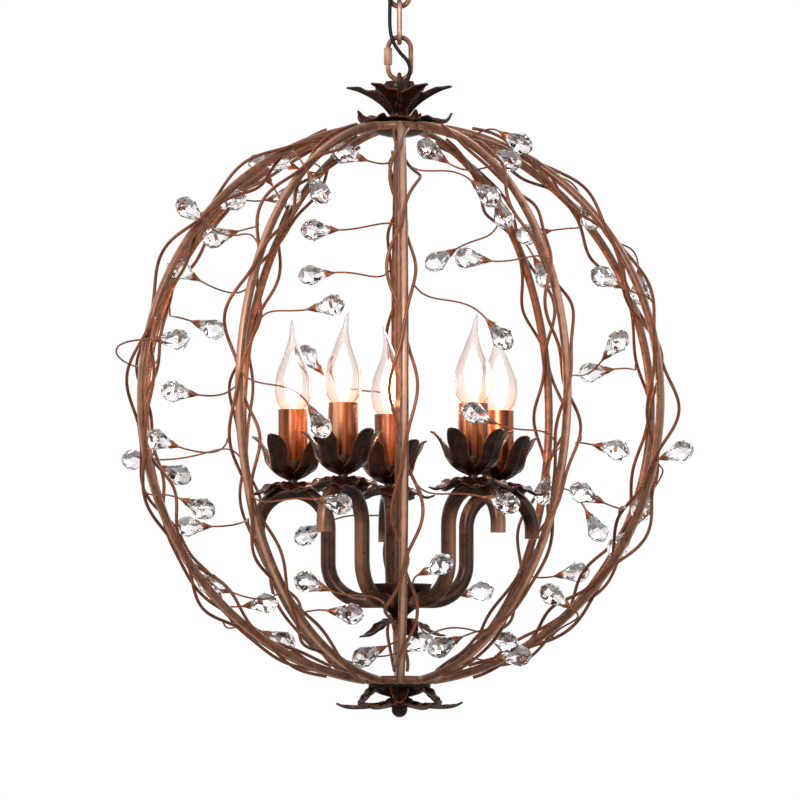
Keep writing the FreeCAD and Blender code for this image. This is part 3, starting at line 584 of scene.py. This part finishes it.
# --- hub
# A bowl turned from steel. The five arms go into its side, and a button with leaves closes
# it below. Bowl, button and leaves are sprayed dark.
hub_low, hub_top = span("hub")
hub_line = [(0, 0), (7.5, 0), (8.4, 2.5), (11.5, 5), (17, 9), (22, 13.5), (26, 19), (29, 25.5), (31, 31.5),
            (29, 31.5), (22, 29.5), (14, 27.6), (8.2, 26.5), (0, 26.5)]
settle(spun(hub_line, UP * hub_low), "hub_bowl", leaf_bronze, "leaf_bronze", "orb", "hub")
hub_foot = UP * hub_low
button = spun([(0, 0), (8, 0), (9.2, -2), (9.5, -4), (8, -6.5), (6.5, -8), (5.6, -10.5), (4, -13), (0, -14)],
              hub_foot)
hub_spray = leaf_ring(5, 12, 5, -4, hub_foot, [(9, -8), (12, -32), (12, -28), (9, -4)], [10, 17, 16, 9],
                      fold=0.36)
settle(join([button, hub_spray]), "hub_button_with_leaves", leaf_bronze, "leaf_bronze", "orb", "hub_leaves")

# --- arms
# Five canes bent from steel tube: out of the hub, up, over an arch and down to a closed end.
# Their solids are 12.5 mm thick, and they are shown 14.5 mm thick, nearer to the photo.
light_count = 5
arm_turn = -30.4
arm_diameter = 12.5
cane_shown = 14.5
# The canes are darker than the cage, with a narrow painted highlight streak and painted flank shade.
arm_bronze = painted_bronze("cane_bronze", "#1e0f09", "#552c19", "#a8765a", 11, 0.2, 0.28, painted_highlight=1.1,
                            painted_flank_shade=0.8)
arm_start = 17
bend_start = 33.5
bend_radius = 36
arch_radius = 34.5
arch_rise = 69.5
end_drop = 9
hub_entry = hub_top - 15.5
candle_radius = 104


def light_angle(number):
    """Way from the middle to a light."""
    return arm_turn + 360 / light_count * number


for number in range(light_count):
    places = [(arm_start, 0)]
    for swept in range(0, 91, 6):
        turn = radians(swept)
        places.append((bend_start + bend_radius * sin(turn), bend_radius - bend_radius * cos(turn)))
    for swept in range(0, 181, 6):
        turn = radians(swept)
        places.append((candle_radius - arch_radius * cos(turn), arch_rise + arch_radius * sin(turn)))
    places.append((candle_radius + arch_radius, arch_rise - end_drop))
    line = [polar(radius, light_angle(number), hub_entry + rise) for radius, rise in places]
    node = "arm_%d" % (number + 1)
    settle(round_wire([line], cane_shown, False, 5), node + "_cane", arm_bronze, "arm_bronze", "orb", node)

# --- drip leaves
# Under each candle a turned washer lies on the arch, with five drooping leaves whose tips
# curl up. The leaves are cut from thin sheet, and all is sprayed dark.
washer_top = 2.2
arch_top = hub_entry + arch_rise + arch_radius + arm_diameter / 2
parts = []
for number in range(light_count):
    base = polar(candle_radius, light_angle(number), arch_top)
    parts.append(spun([(0, 0), (10.6, 0), (11, 0.6), (11, 1.6), (10, washer_top), (0, washer_top)],
                      base, steps=40))
    parts.append(leaf_ring(5, light_angle(number) + 36, 6, 1.6, base,
                           [(12, -12), (11, -22), (9, -24), (10, 26)], [9, 26, 27, 14],
                           thickness=0.9, notch=0.18, fold=0.2))
settle(join(parts), "drip_leaves", leaf_bronze, "leaf_bronze", "orb", "bobeches")

# --- candle cups
# A turned foot and cup, in which the sleeve stands, with five broad leaves that stand up
# round the sleeve and curl outwards. They are brazed together and sprayed dark.
parts = []
cup_bottom = arch_top + washer_top
cup_line = [(0, 0), (5, 0), (4.4, 2), (4.2, 4), (5, 7), (9, 9.5), (13.6, 12.2), (15.45, 14), (15.45, 21),
            (14.25, 21), (14.25, 14), (0, 14)]
for number in range(light_count):
    base = polar(candle_radius, light_angle(number), cup_bottom)
    parts.append(spun(cup_line, base, steps=40))
    parts.append(leaf_ring(5, light_angle(number), 4, 3, base,
                           [(13, 24), (12, 48), (13, 70), (12, 62), (8, 34)], [12, 22, 23, 22, 20],
                           thickness=0.9, notch=0.1, fold=0.22, points=2, tip=0.8, blunt=8))
settle(join(parts), "candle_cups_with_leaves", leaf_bronze, "leaf_bronze", "orb", "candle_cups")

# --- candle sleeves
# Thin steel tube, 28 mm, lacquered copper and rubbed lengthwise, so that it shows dark and pale
# streaks from end to end. The warm light from the bulb shows on its upper end.
sleeve_copper, tree, shader = new_material("copper_lacquered_tube")
place = add(tree, "TexCoord").outputs["Object"]
drawn = add(tree, "Mapping", {"Vector": place, "Scale": (1, 1, 0.03)})
streaks = add(tree, "TexNoise", {"Vector": drawn.outputs["Vector"], "Scale": 1000 / 8.0, "Detail": 3.0,
                                 "Roughness": 0.5})
streak_tone = ramp(tree, streaks.outputs["Fac"],
                   [(0.36, "#3a1b0d"), (0.46, "#8a431d"), (0.56, "#b0602e"), (0.66, "#e3ac88")])
tree.links.new(streak_tone, shader.inputs["Base Color"])
streak_bump = add(tree, "Bump", {"Height": streaks.outputs["Fac"], "Strength": 0.2, "Distance": 0.0002})
tree.links.new(streak_bump.outputs["Normal"], shader.inputs["Normal"])
shader.inputs["Metallic"].default_value = 0.45
shader.inputs["Roughness"].default_value = 0.3
sleeve_bore = 13
sleeve_radius = 14
for number in range(light_count):
    node = "candle_sleeve_%d" % (number + 1)
    low, high = span(node)
    line = [(sleeve_bore, low), (sleeve_radius, low), (sleeve_radius, high), (sleeve_bore, high),
            (sleeve_bore, low)]
    tube = spun(line, polar(candle_radius, light_angle(number), 0), steps=48, soften=0.6)
    settle(tube, node + "_tube", sleeve_copper, "candle_sleeve", "orb", node)

# --- lampholders and bulb caps
# Moulded black phenolic lampholders and rolled brass screw caps. Both keep their CAD shapes,
# deep inside the sleeves.
# Phenolic looks brown-black and finely specked, with a soft gloss.
phenolic, tree, shader = new_material("phenolic_black")
place = add(tree, "TexCoord").outputs["Object"]
speck = add(tree, "TexNoise", {"Vector": place, "Scale": 1000 / 2.0, "Detail": 3.0})
speck_tone = ramp(tree, speck.outputs["Fac"], [(0.3, "#141210"), (0.7, "#221e1b")])
tree.links.new(speck_tone, shader.inputs["Base Color"])
shader.inputs["Roughness"].default_value = 0.4
repaint("lamp_sockets", phenolic)
# Rolled brass, with a painted highlight band and a painted shade band for each turn of its thread.
brass, tree, shader = new_material("rolled_brass")
place = add(tree, "TexCoord").outputs["Object"]
rolled = add(tree, "TexWave", {"Vector": place, "Scale": 1000 / 3.2, "Distortion": 0.4}, bands_direction="Z")
painted_thread_light_and_shade = ramp(tree, rolled.outputs["Fac"], [(0.0, "#a9803f"), (1.0, "#d9b56c")])
tree.links.new(painted_thread_light_and_shade, shader.inputs["Base Color"])
shader.inputs["Metallic"].default_value = 1.0
shader.inputs["Roughness"].default_value = 0.3
for number in range(light_count):
    repaint("bulb_cap_%d" % (number + 1), brass)

# --- bulbs
# Clear flame bulbs, blown to a long bent tip. Inside, two wires carry a lit filament. The lower
# glass has a painted orange glow, and its edges have painted warm grey shade.
# (share of the height, share of the width) and (share of the height, lean as a share of the width)
bulb_stations = [(0, 0.5), (0.05, 0.66), (0.13, 0.92), (0.28, 1.0), (0.45, 0.86), (0.63, 0.5), (0.82, 0.2),
                 (0.94, 0.1), (1, 0.03)]
lean_stations = [(0, 0), (0.6, 0), (0.82, 0.05), (1, 0.17)]
bulb_bottom, bulb_top = span("bulb_glass_1")
bulb_length = bulb_top - bulb_bottom
bulb_width = 35
bulb_steps = 44
bulb_sides = 32
# The glass is clear at the tip, with a painted orange glow at the foot and painted grey shade at its edges.
glass, tree, shader = new_material("clear_lamp_glass")
place = add(tree, "TexCoord").outputs["Object"]
height = add(tree, "SeparateXYZ", {"Vector": place})
level = add(tree, "MapRange", {"Value": height.outputs["Z"],
                               "From Min": bulb_bottom / 1000, "From Max": bulb_top / 1000})
# Painted glow: a warm emission at the glass's foot, fading out about two thirds of the way up.
painted_glow = ramp(tree, level.outputs["Result"],
            [(0.0, "#c8662a"), (0.12, "#a05a2c"), (0.24, "#4a2a18"), (0.5, "#120a08"), (0.7, "#000000")])
tree.links.new(painted_glow, shader.inputs["Emission Color"])
shader.inputs["Emission Strength"].default_value = 0.5
# Painted shade: the glass is tinted darker towards its edges.
edge = add(tree, "LayerWeight", {"Blend": 0.5})
glass_tint_and_painted_edge_shade = ramp(tree, edge.outputs["Facing"],
                  [(0.0, "#fbf4f2"), (0.5, "#efe2df"), (0.85, "#c9b0ab"), (1.0, "#8f7671")])
tree.links.new(glass_tint_and_painted_edge_shade, shader.inputs["Base Color"])
shader.inputs["Transmission Weight"].default_value = 1.0
shader.inputs["Roughness"].default_value = 0.02
shader.inputs["IOR"].default_value = 1.45
# Hot wire looks white with a warm edge, coil by coil.
hot, tree, shader = new_material("hot_tungsten")
place = add(tree, "TexCoord").outputs["Object"]
coil = add(tree, "TexWave", {"Vector": place, "Scale": 1000 / 1.2}, bands_direction="Z")
coil_tone = ramp(tree, coil.outputs["Fac"], [(0.0, "#ffe2b0"), (1.0, "#fff6e4")])
tree.links.new(coil_tone, shader.inputs["Emission Color"])
shader.inputs["Emission Strength"].default_value = 12.0
filament_wire = 1.3
filament_foot = 9
filament_height = 44
filament_least = 1.2
filament_swell = 6.0
filament_turns = 18
steps_per_turn = 12
filament_steps = filament_turns * steps_per_turn
lead_wire = 0.6
for number in range(light_count):
    body = "bulb_%d" % (number + 1)
    angle = light_angle(number)
    base = polar(candle_radius, angle, bulb_bottom)
    lean = polar(1, angle + 90, 0)
    shape = bmesh.new()
    rings = []
    for i in range(bulb_steps + 1):
        share = i / bulb_steps
        reach = bulb_width / 2 * eased(bulb_stations, share)
        centre = base + UP * (bulb_length * share) + lean * (bulb_width * eased(lean_stations, share))
        rings.append([shape.verts.new(centre + polar(reach, 360 * k / bulb_sides, 0))
                      for k in range(bulb_sides)])
    for near, far in zip(rings, rings[1:]):
        for k in range(bulb_sides):
            beside = (k + 1) % bulb_sides
            shape.faces.new((near[k], near[beside], far[beside], far[k]))
    shape.faces.new(rings[0][::-1])
    shape.faces.new(rings[-1])
    bulb = shaped(shape)
    modify(bulb, "SOLIDIFY", thickness=0.7, offset=-1)
    bpy.ops.object.shade_smooth_by_angle(angle=radians(60))
    settle(bulb, body + "_glass_blown", glass, "bulb_glass", body, "bulb_glass_%d" % (number + 1))
    bulb.visible_shadow = False
    side = polar(1, angle, 0)
    filament = []
    for i in range(filament_steps + 1):
        share = i / filament_steps
        wide = filament_least + filament_swell * sin(pi * share ** 0.8)
        height = filament_foot + filament_height * share
        filament.append(base + UP * height + polar(wide, 360 / steps_per_turn * i, 0))
    leads = [[base + side * (2 * end), base + side * (1.2 * end) + UP * 5, tied]
             for end, tied in ((-1, filament[0]), (1, filament[-1]))]
    settle(round_wire([filament], filament_wire, False, 1), body + "_filament", hot, "bulb_glass", body)
    settle(round_wire(leads, lead_wire, False, 1), body + "_leads", zinc, "plated_steel", body)

# --- foot
# A shallow cone closes the bottom ring. Short leaves curl round it, a star of long leaves lies
# below, and a turned ball with its screw holds them together.
foot = UP * foot_height
cone_depth = 16
cone = spun([(0, -4), (29, -4), (30, -5.2), (28.5, -8), (24, -10.8), (18, -13.6), (12, -15.4),
             (9, -cone_depth), (0, -cone_depth)], foot)
foot_spray = leaf_ring(6, 0, 14, -5, foot, [(10, -20), (10, -34), (10, -40), (6, -10)], [12, 18, 17, 13],
                       fold=0.35, notch=0.12, tip=0.7)
settle(join([cone, foot_spray]), "foot_cone_with_leaves", leaf_bronze, "leaf_bronze", "orb", "foot_leaves")
star_base = UP * (foot_height - cone_depth)
star_washer = spun([(0, 0), (8.4, 0), (12, -1.6), (14.6, -4.4), (15.6, -8), (14.4, -9.6), (0, -9.6)],
                   star_base)
star = leaf_ring(6, 30, 7, -7.6, star_base, [(15, -6), (17, -5), (13, 5), (9, 28)], [14, 20, 17, 10],
                 thickness=1.3, fold=0.36)
settle(join([star_washer, star]), "foot_star", leaf_bronze, "leaf_bronze", "orb", "foot_rosette")
ball_radius = 7.6
ball_top = foot_height - 20
ball_line = [(0, 0), (3.5, 0)]
for swept in range(30, 180, 10):
    turn = radians(swept)
    ball_line.append((ball_radius * sin(turn), ball_radius * cos(turn) - ball_radius))
ball_line.append((0, -2 * ball_radius))
settle(spun(ball_line, UP * ball_top, soften=0), "foot_ball", leaf_bronze, "leaf_bronze", "orb", "finial")

# --- vines
# Two annealed wires, 3.2 mm, are wound loosely round each rib and tacked to it, so that they
# cross it about every 110 mm and bulge out to the side between.
# Annealed wire is duller and browner than the rods, with a thin painted highlight streak and painted flank
# shade.
vine_bronze = painted_bronze("annealed_wire_bronze", "#220f08", "#5c2e1a", "#b86e48", 8, 0.25, 0.36,
                             painted_highlight=0.8, painted_flank_shade=0.7, centre=cage_centre)
vine_diameter = 3.2
vine_gap = 0.5
vine_swell = 9.0
vine_swell_change = 4.0
vine_turns = 3.0
vine_steps = 150
vine_end_angle = 74.0
# Degrees that each rib's bulges turn from sideways towards the cage's inside.
vine_leans = (0, 20, 75, 40, 10, 60, 15, 35, 95, 30)


def vine_point(number, wire, share):
    """Middle of a vine wire at a share of the way up its rib."""
    slope = vine_end_angle * (2 * share - 1)
    angle = rib_angle(number)
    along = (rib_point(angle, slope + 1) - rib_point(angle, slope - 1)).normalized()
    sideways = polar(1, angle + 90, 0)
    inward = along.cross(sideways)
    phase = 2 * pi * vine_turns * share + pi * wire + 0.9 * number
    lobe = sin(2.3 * number + 1.9 * wire + 7.0 * share)
    # The wires come in to the rib over the first and the last eighth.
    swell = (vine_swell + vine_swell_change * lobe) * cos(radians(slope)) ** 0.5
    swell = swell * min(1, 8 * share, 8 * (1 - share))
    lean = radians(vine_leans[number])
    reach = (rib_diameter + vine_diameter) / 2 + vine_gap + swell * cos(phase - lean) ** 2
    return rib_point(angle, slope) + sideways * (reach * cos(phase)) + inward * (reach * sin(phase))


vine_lines = [[vine_point(number, wire, i / vine_steps) for i in range(vine_steps + 1)]
              for number in range(rib_count) for wire in (0, 1)]
settle(round_wire(vine_lines, vine_diameter, False, 2), "vine_wire_pairs", vine_bronze, "vine_wire",
       "orb", "vine_wires")

# --- glass drops
# Pear drops of clear pressed glass, cut with flat facets. The narrow end is cemented in a bud.
# Their solids are 16.5 by 22 mm, and they are shown 21 by 29 mm, nearer to the photo.
# Each is (x and height from the cage's middle, 1 for the front or -1 for the back, degrees to
# which the bud points in the front view, and reach out from the cage's round if not the usual).
usual_reach = -17
deep_reach = -36
drop_places = [
    (-134, 231, -1, -56, 22), (-116, 231, 1, -19), (-159, 193, 1, 202),
    (-171, 151, 1, 15), (-207, 125, 1, -29), (-183, 81, -1, 160),
    (-210, 54, 1, 180), (-208, 4, 1, -8), (-227, -38, 1, -18, -19),
    (-214, -63, -1, 158), (-185, -104, 1, 156), (-201, -114, -1, 0),
    (-178, -172, 1, -21), (-131, -187, -1, 188), (-109, 206, -1, 190),
    (-75, 190, 1, 120), (-50, 232, 1, -18, -44), (-77, 150, 1, 0),
    (-85, 137, -1, 6), (29, 231, 1, -35), (38, 152, -1, 32),
    (82, 186, 1, 140), (64, 122, 1, -7), (-64, 77, 1, 190),
    (-89, 58, -1, -50), (-73, -32, 1, 120), (-57, -104, 1, 170),
    (-90, -117, -1, 30), (97, -103, 1, 165), (70, -23, 1, -25),
    (93, 49, 1, 130), (36, -160, 1, 205), (78, -174, -1, 190),
    (-84, -175, 1, -20), (-47, -203, 1, 172), (102, 228, 1, 150),
    (181, 179, 1, 115), (192, 112, 1, -28), (229, 108, -1, 95),
    (202, 49, 1, 230), (188, 39, -1, 8), (200, -50, 1, 168),
    (262, -50, 1, 200, 22), (171, -92, 1, -25), (190, -115, -1, 120),
    (169, -158, -1, 190), (144, -185, 1, -35), (98, -227, 1, 160),
    (40, -232, 1, 25, deep_reach), (-31, -241, 1, 25), (19, -225, -1, 205, deep_reach),
    (-112, -225, 1, 155, deep_reach), (110, -241, 1, 190, 16), (100, 189, -1, 110, deep_reach),
    (141, 134, -1, 120), (127, 172, -1, 10), (112, 241, 1, 150, 30),
    (-197, 176, 1, -40, 30), (-254, -49, -1, 0, 18), (141, -76, -1, 80, deep_reach),
    (231, -99, 1, 60), (209, -134, -1, 50),
]
drop_length = 29
drop_diameter = 21
drop_cap_length = 6
drop_twist = 0.7


def drop_frame(drop):
    """Middle of a glass drop and the direction of its bud."""
    x, rise, side, pointing, *own_reach = drop
    reach = own_reach[0] if own_reach else usual_reach
    share = min(abs(rise) / cage_half_height, 0.99)
    radius = cage_radius * sqrt(1 - share ** 2) + reach
    depth = sqrt(max(radius ** 2 - x ** 2, 0))
    turn = radians(pointing)
    return Vector((x, -side * depth, cage_centre + rise)), Vector((cos(turn), 0, sin(turn)))


def hung_copies(master, along):
    """Copies of one small piece, each with its own mesh, set on the drops' axes."""
    copies = []
    for number, drop in enumerate(drop_places):
        middle, axis = drop_frame(drop)
        twist = Matrix.Rotation(drop_twist * number, 4, "Z")
        turned = axis.to_track_quat("Z", "Y").to_matrix().to_4x4() @ twist
        mesh = master.data.copy()
        mesh.transform(Matrix.Translation(middle + axis * along) @ turned)
        copies.append(new_piece(mesh))
    bpy.data.objects.remove(master)
    return join(copies)


facet_lines = [(0.5, 5.4), (0.27, 12.0), (-0.06, drop_diameter), (-0.29, 18.0), (-0.44, 9.5)]
shape = bmesh.new()
facet_sides = 8
rings = []
for k, (share, diameter) in enumerate(facet_lines):
    stagger = 0.5 * (k % 2)
    ring = [polar(diameter / 2, 360 * (i + stagger) / facet_sides, drop_length * share)
            for i in range(facet_sides)]
    rings.append([shape.verts.new(corner) for corner in ring])
point = shape.verts.new((0, 0, -drop_length / 2))
for k, (near, far) in enumerate(zip(rings, rings[1:])):
    for i in range(facet_sides):
        j = (i + 1) % facet_sides
        if k % 2 == 0:
            shape.faces.new((near[i], near[j], far[i]))
            shape.faces.new((near[j], far[j], far[i]))
        else:
            shape.faces.new((near[i], near[j], far[j]))
            shape.faces.new((near[i], far[j], far[i]))
for i in range(facet_sides):
    shape.faces.new((rings[-1][i], rings[-1][(i + 1) % facet_sides], point))
shape.faces.new(rings[0])
cut_drop = shaped(shape)
crystal, tree, shader = new_material("pressed_clear_glass")
geometry = add(tree, "NewGeometry")
# The glass is tinted facet by facet with painted reflections, as if each facet threw back another part of the
# room.
facets = add(tree, "TexNoise", {"Vector": geometry.outputs["True Normal"], "Scale": 3.4, "Detail": 2.0,
                                "Roughness": 0.8})
painted_facet_reflection = ramp(tree, facets.outputs["Fac"],
               [(0.34, "#8a726a"), (0.43, "#d6cccc"), (0.5, "#fbf8f8"), (0.62, "#ffffff")])
tree.links.new(painted_facet_reflection, shader.inputs["Base Color"])
shader.inputs["Transmission Weight"].default_value = 1.0
shader.inputs["Roughness"].default_value = 0.0
shader.inputs["IOR"].default_value = 1.52
settle(hung_copies(cut_drop, 0), "cut_glass_drops", crystal, "crystal", "orb", "glass_drops")

# --- buds
# The glass is held in a bud stamped from thin copper: four short sepals and a stalk for its
# wire. Each ring of the bud is (height, radius, share of the sepals' wave).
bud_rings = [(-2.4, 4.0, 1.0), (-1.2, 3.6, 0.35), (0.6, 3.0, 0), (2.4, 2.2, 0), (4.2, 1.4, 0), (6.2, 1.0, 0)]
bud_sides = 16
sepal_count = 4
sepal_length = 1.6
shape = bmesh.new()
rings = []
for height, radius, sepal in bud_rings:
    ring = []
    for i in range(bud_sides):
        angle = 360 * i / bud_sides
        wave = sepal * sepal_length * cos(radians(sepal_count * angle))
        ring.append(shape.verts.new(polar(radius, angle, height - wave)))
    rings.append(ring)
for near, far in zip(rings, rings[1:]):
    for i in range(bud_sides):
        j = (i + 1) % bud_sides
        shape.faces.new((near[i], near[j], far[j], far[i]))
shape.faces.new(rings[-1])
bud = shaped(shape)
modify(bud, "SOLIDIFY", thickness=0.4, offset=0)
bpy.ops.object.shade_smooth_by_angle(angle=radians(45))
# Stamped copper is warmer and brighter than the painted steel.
bud_copper = painted_bronze("stamped_copper_bud", "#5a3323", "#94593c", "#cf9268", 4, 0.6, 0.36)
settle(hung_copies(bud, drop_length / 2), "copper_buds", bud_copper, "vine_wire", "orb", "drop_caps")

# --- tendrils
# Thin wires, 1.8 mm, twisted onto the vines. Each carries one bud in a free bow, which is
# wide where the wire has to turn back to reach its bud.
tendril_diameter = 1.8
tendril_steps = 28
look_ahead = 58
wide_bow = 24
slight_bow = 2


def tendril_line(drop):
    """Bow from the nearer vine wire of the rib that the bud points to, up to the bud."""
    middle, axis = drop_frame(drop)
    end = middle + axis * (drop_length / 2 + drop_cap_length)
    ahead = middle + axis * look_ahead
    level = max(-0.95, min(0.95, (ahead.z - cage_centre) / cage_half_height))
    across = max(-1, min(1, ahead.x / (cage_radius * sqrt(1 - level ** 2))))
    angle = degrees(asin(across))
    if drop[2] < 0:
        angle = 180 - angle
    number = round((angle - rib_turn) / (360 / rib_count)) % rib_count
    share = max(0.02, min(0.98, (degrees(asin(level)) / vine_end_angle + 1) / 2))
    start = min((vine_point(number, wire, share) for wire in (0, 1)), key=lambda place: (place - end).length)
    away = 0.45 * (end - start).length
    bow_size = wide_bow if (start - end).dot(axis) < 0 else slight_bow
    bow = Vector((end.x, end.y, 0)).normalized() * bow_size
    first = start + UP * (-0.5 * away if axis.z > 0 else 0.5 * away) + (end - start) * 0.2 + bow
    second = end + axis * away + bow
    line = []
    for i in range(tendril_steps + 1):
        t = i / tendril_steps
        line.append(start * (1 - t) ** 3 + first * (3 * t * (1 - t) ** 2)
                    + second * (3 * t ** 2 * (1 - t)) + end * t ** 3)
    return line


tendrils = round_wire([tendril_line(drop) for drop in drop_places], tendril_diameter, False, 1)
settle(tendrils, "tendril_wires", vine_bronze, "vine_wire", "orb", "tendrils")

# --- floor, light and camera
# A plain pale floor far below, a white room, three soft lamps, and a small warm lamp in each
# bulb. The room is white to the camera, in glass and in reflections, and dimmer as light.
floor_size = 30
floor_height = -2.4
bpy.ops.mesh.primitive_plane_add(size=floor_size, location=(0, 0, floor_height))
floor = bpy.context.active_object
floor.name = "floor"
pale, tree, shader = new_material("pale_floor")
shader.inputs["Base Color"].default_value = colour("#f2f1ef")
shader.inputs["Roughness"].default_value = 0.8
shader.inputs["Emission Color"].default_value = colour("#ffffff")
floor_seen = add(tree, "LightPath").outputs["Is Camera Ray"]
floor_lift = add(tree, "MapRange", {"Value": floor_seen, "To Min": 0.0, "To Max": 0.4})
tree.links.new(floor_lift.outputs["Result"], shader.inputs["Emission Strength"])
floor.data.materials.append(pale)

world = bpy.data.worlds.new("white_room")
bpy.context.scene.world = world
world.use_nodes = True
tree = world.node_tree
path = add(tree, "LightPath")
seen = add(tree, "Math", {0: path.outputs["Is Camera Ray"], 1: path.outputs["Is Transmission Ray"]},
           operation="MAXIMUM")
seen = add(tree, "Math", {0: seen.outputs["Value"], 1: path.outputs["Is Glossy Ray"]}, operation="MAXIMUM")
strength = add(tree, "MapRange", {"Value": seen.outputs["Value"], "To Min": 0.25, "To Max": 1.0})
background = tree.nodes["Background"]
background.inputs["Color"].default_value = (1, 1, 1, 1)
tree.links.new(strength.outputs["Result"], background.inputs["Strength"])


def lamp(name, kind, where, energy, hex_value, size, towards=None):
    """A lamp, turned to face a point if it has one."""
    light = bpy.data.lights.new(name, kind)
    light.energy = energy
    light.color = colour(hex_value)[:3]
    if kind == "AREA":
        light.size = size
    else:
        light.shadow_soft_size = size
    made = bpy.data.objects.new(name, light)
    bpy.context.scene.collection.objects.link(made)
    made.location = where
    if towards is not None:
        made.rotation_euler = (Vector(towards) - Vector(where)).to_track_quat("-Z", "Y").to_euler()
    return made


middle = (0, 0, cage_centre / 1000)
lamp("soft_key", "AREA", (-0.9, -2.7, 0.5), 60, "#fffaf4", 1.0, middle)
lamp("soft_fill", "AREA", (2.2, -1.8, -0.6), 14, "#f6f8ff", 1.6, middle)
lamp("soft_back", "AREA", (0.8, 2.4, 0.6), 16, "#ffffff", 1.4, middle)
flame_height = 32
for number in range(light_count):
    where = polar(candle_radius, light_angle(number), bulb_bottom + flame_height) / 1000
    lamp("bulb_light_%d" % (number + 1), "POINT", where, 0.4, "#ffb066", 0.01)

# The camera stands 6 m away and a little low. The picture's middle lies half a pixel right of
# the cage's middle and 3.5 pixels above it.
photo_pixel = 0.00095
photo_width = 800
sensor = 36
distance = 6.0
rise_angle = radians(-3.4)
aim = Vector((0.5 * photo_pixel, 0, cage_centre / 1000 + 3.5 * photo_pixel))
camera = bpy.data.objects.new("camera", bpy.data.cameras.new("camera"))
bpy.context.scene.collection.objects.link(camera)
camera.location = aim + Vector((0, -cos(rise_angle), sin(rise_angle))) * distance
camera.rotation_euler = (aim - camera.location).to_track_quat("-Z", "Y").to_euler()
camera.data.sensor_width = sensor
camera.data.lens = sensor * distance / (photo_width * photo_pixel)
bpy.context.scene.camera = camera
bpy.context.scene.view_settings.view_transform = "Standard"
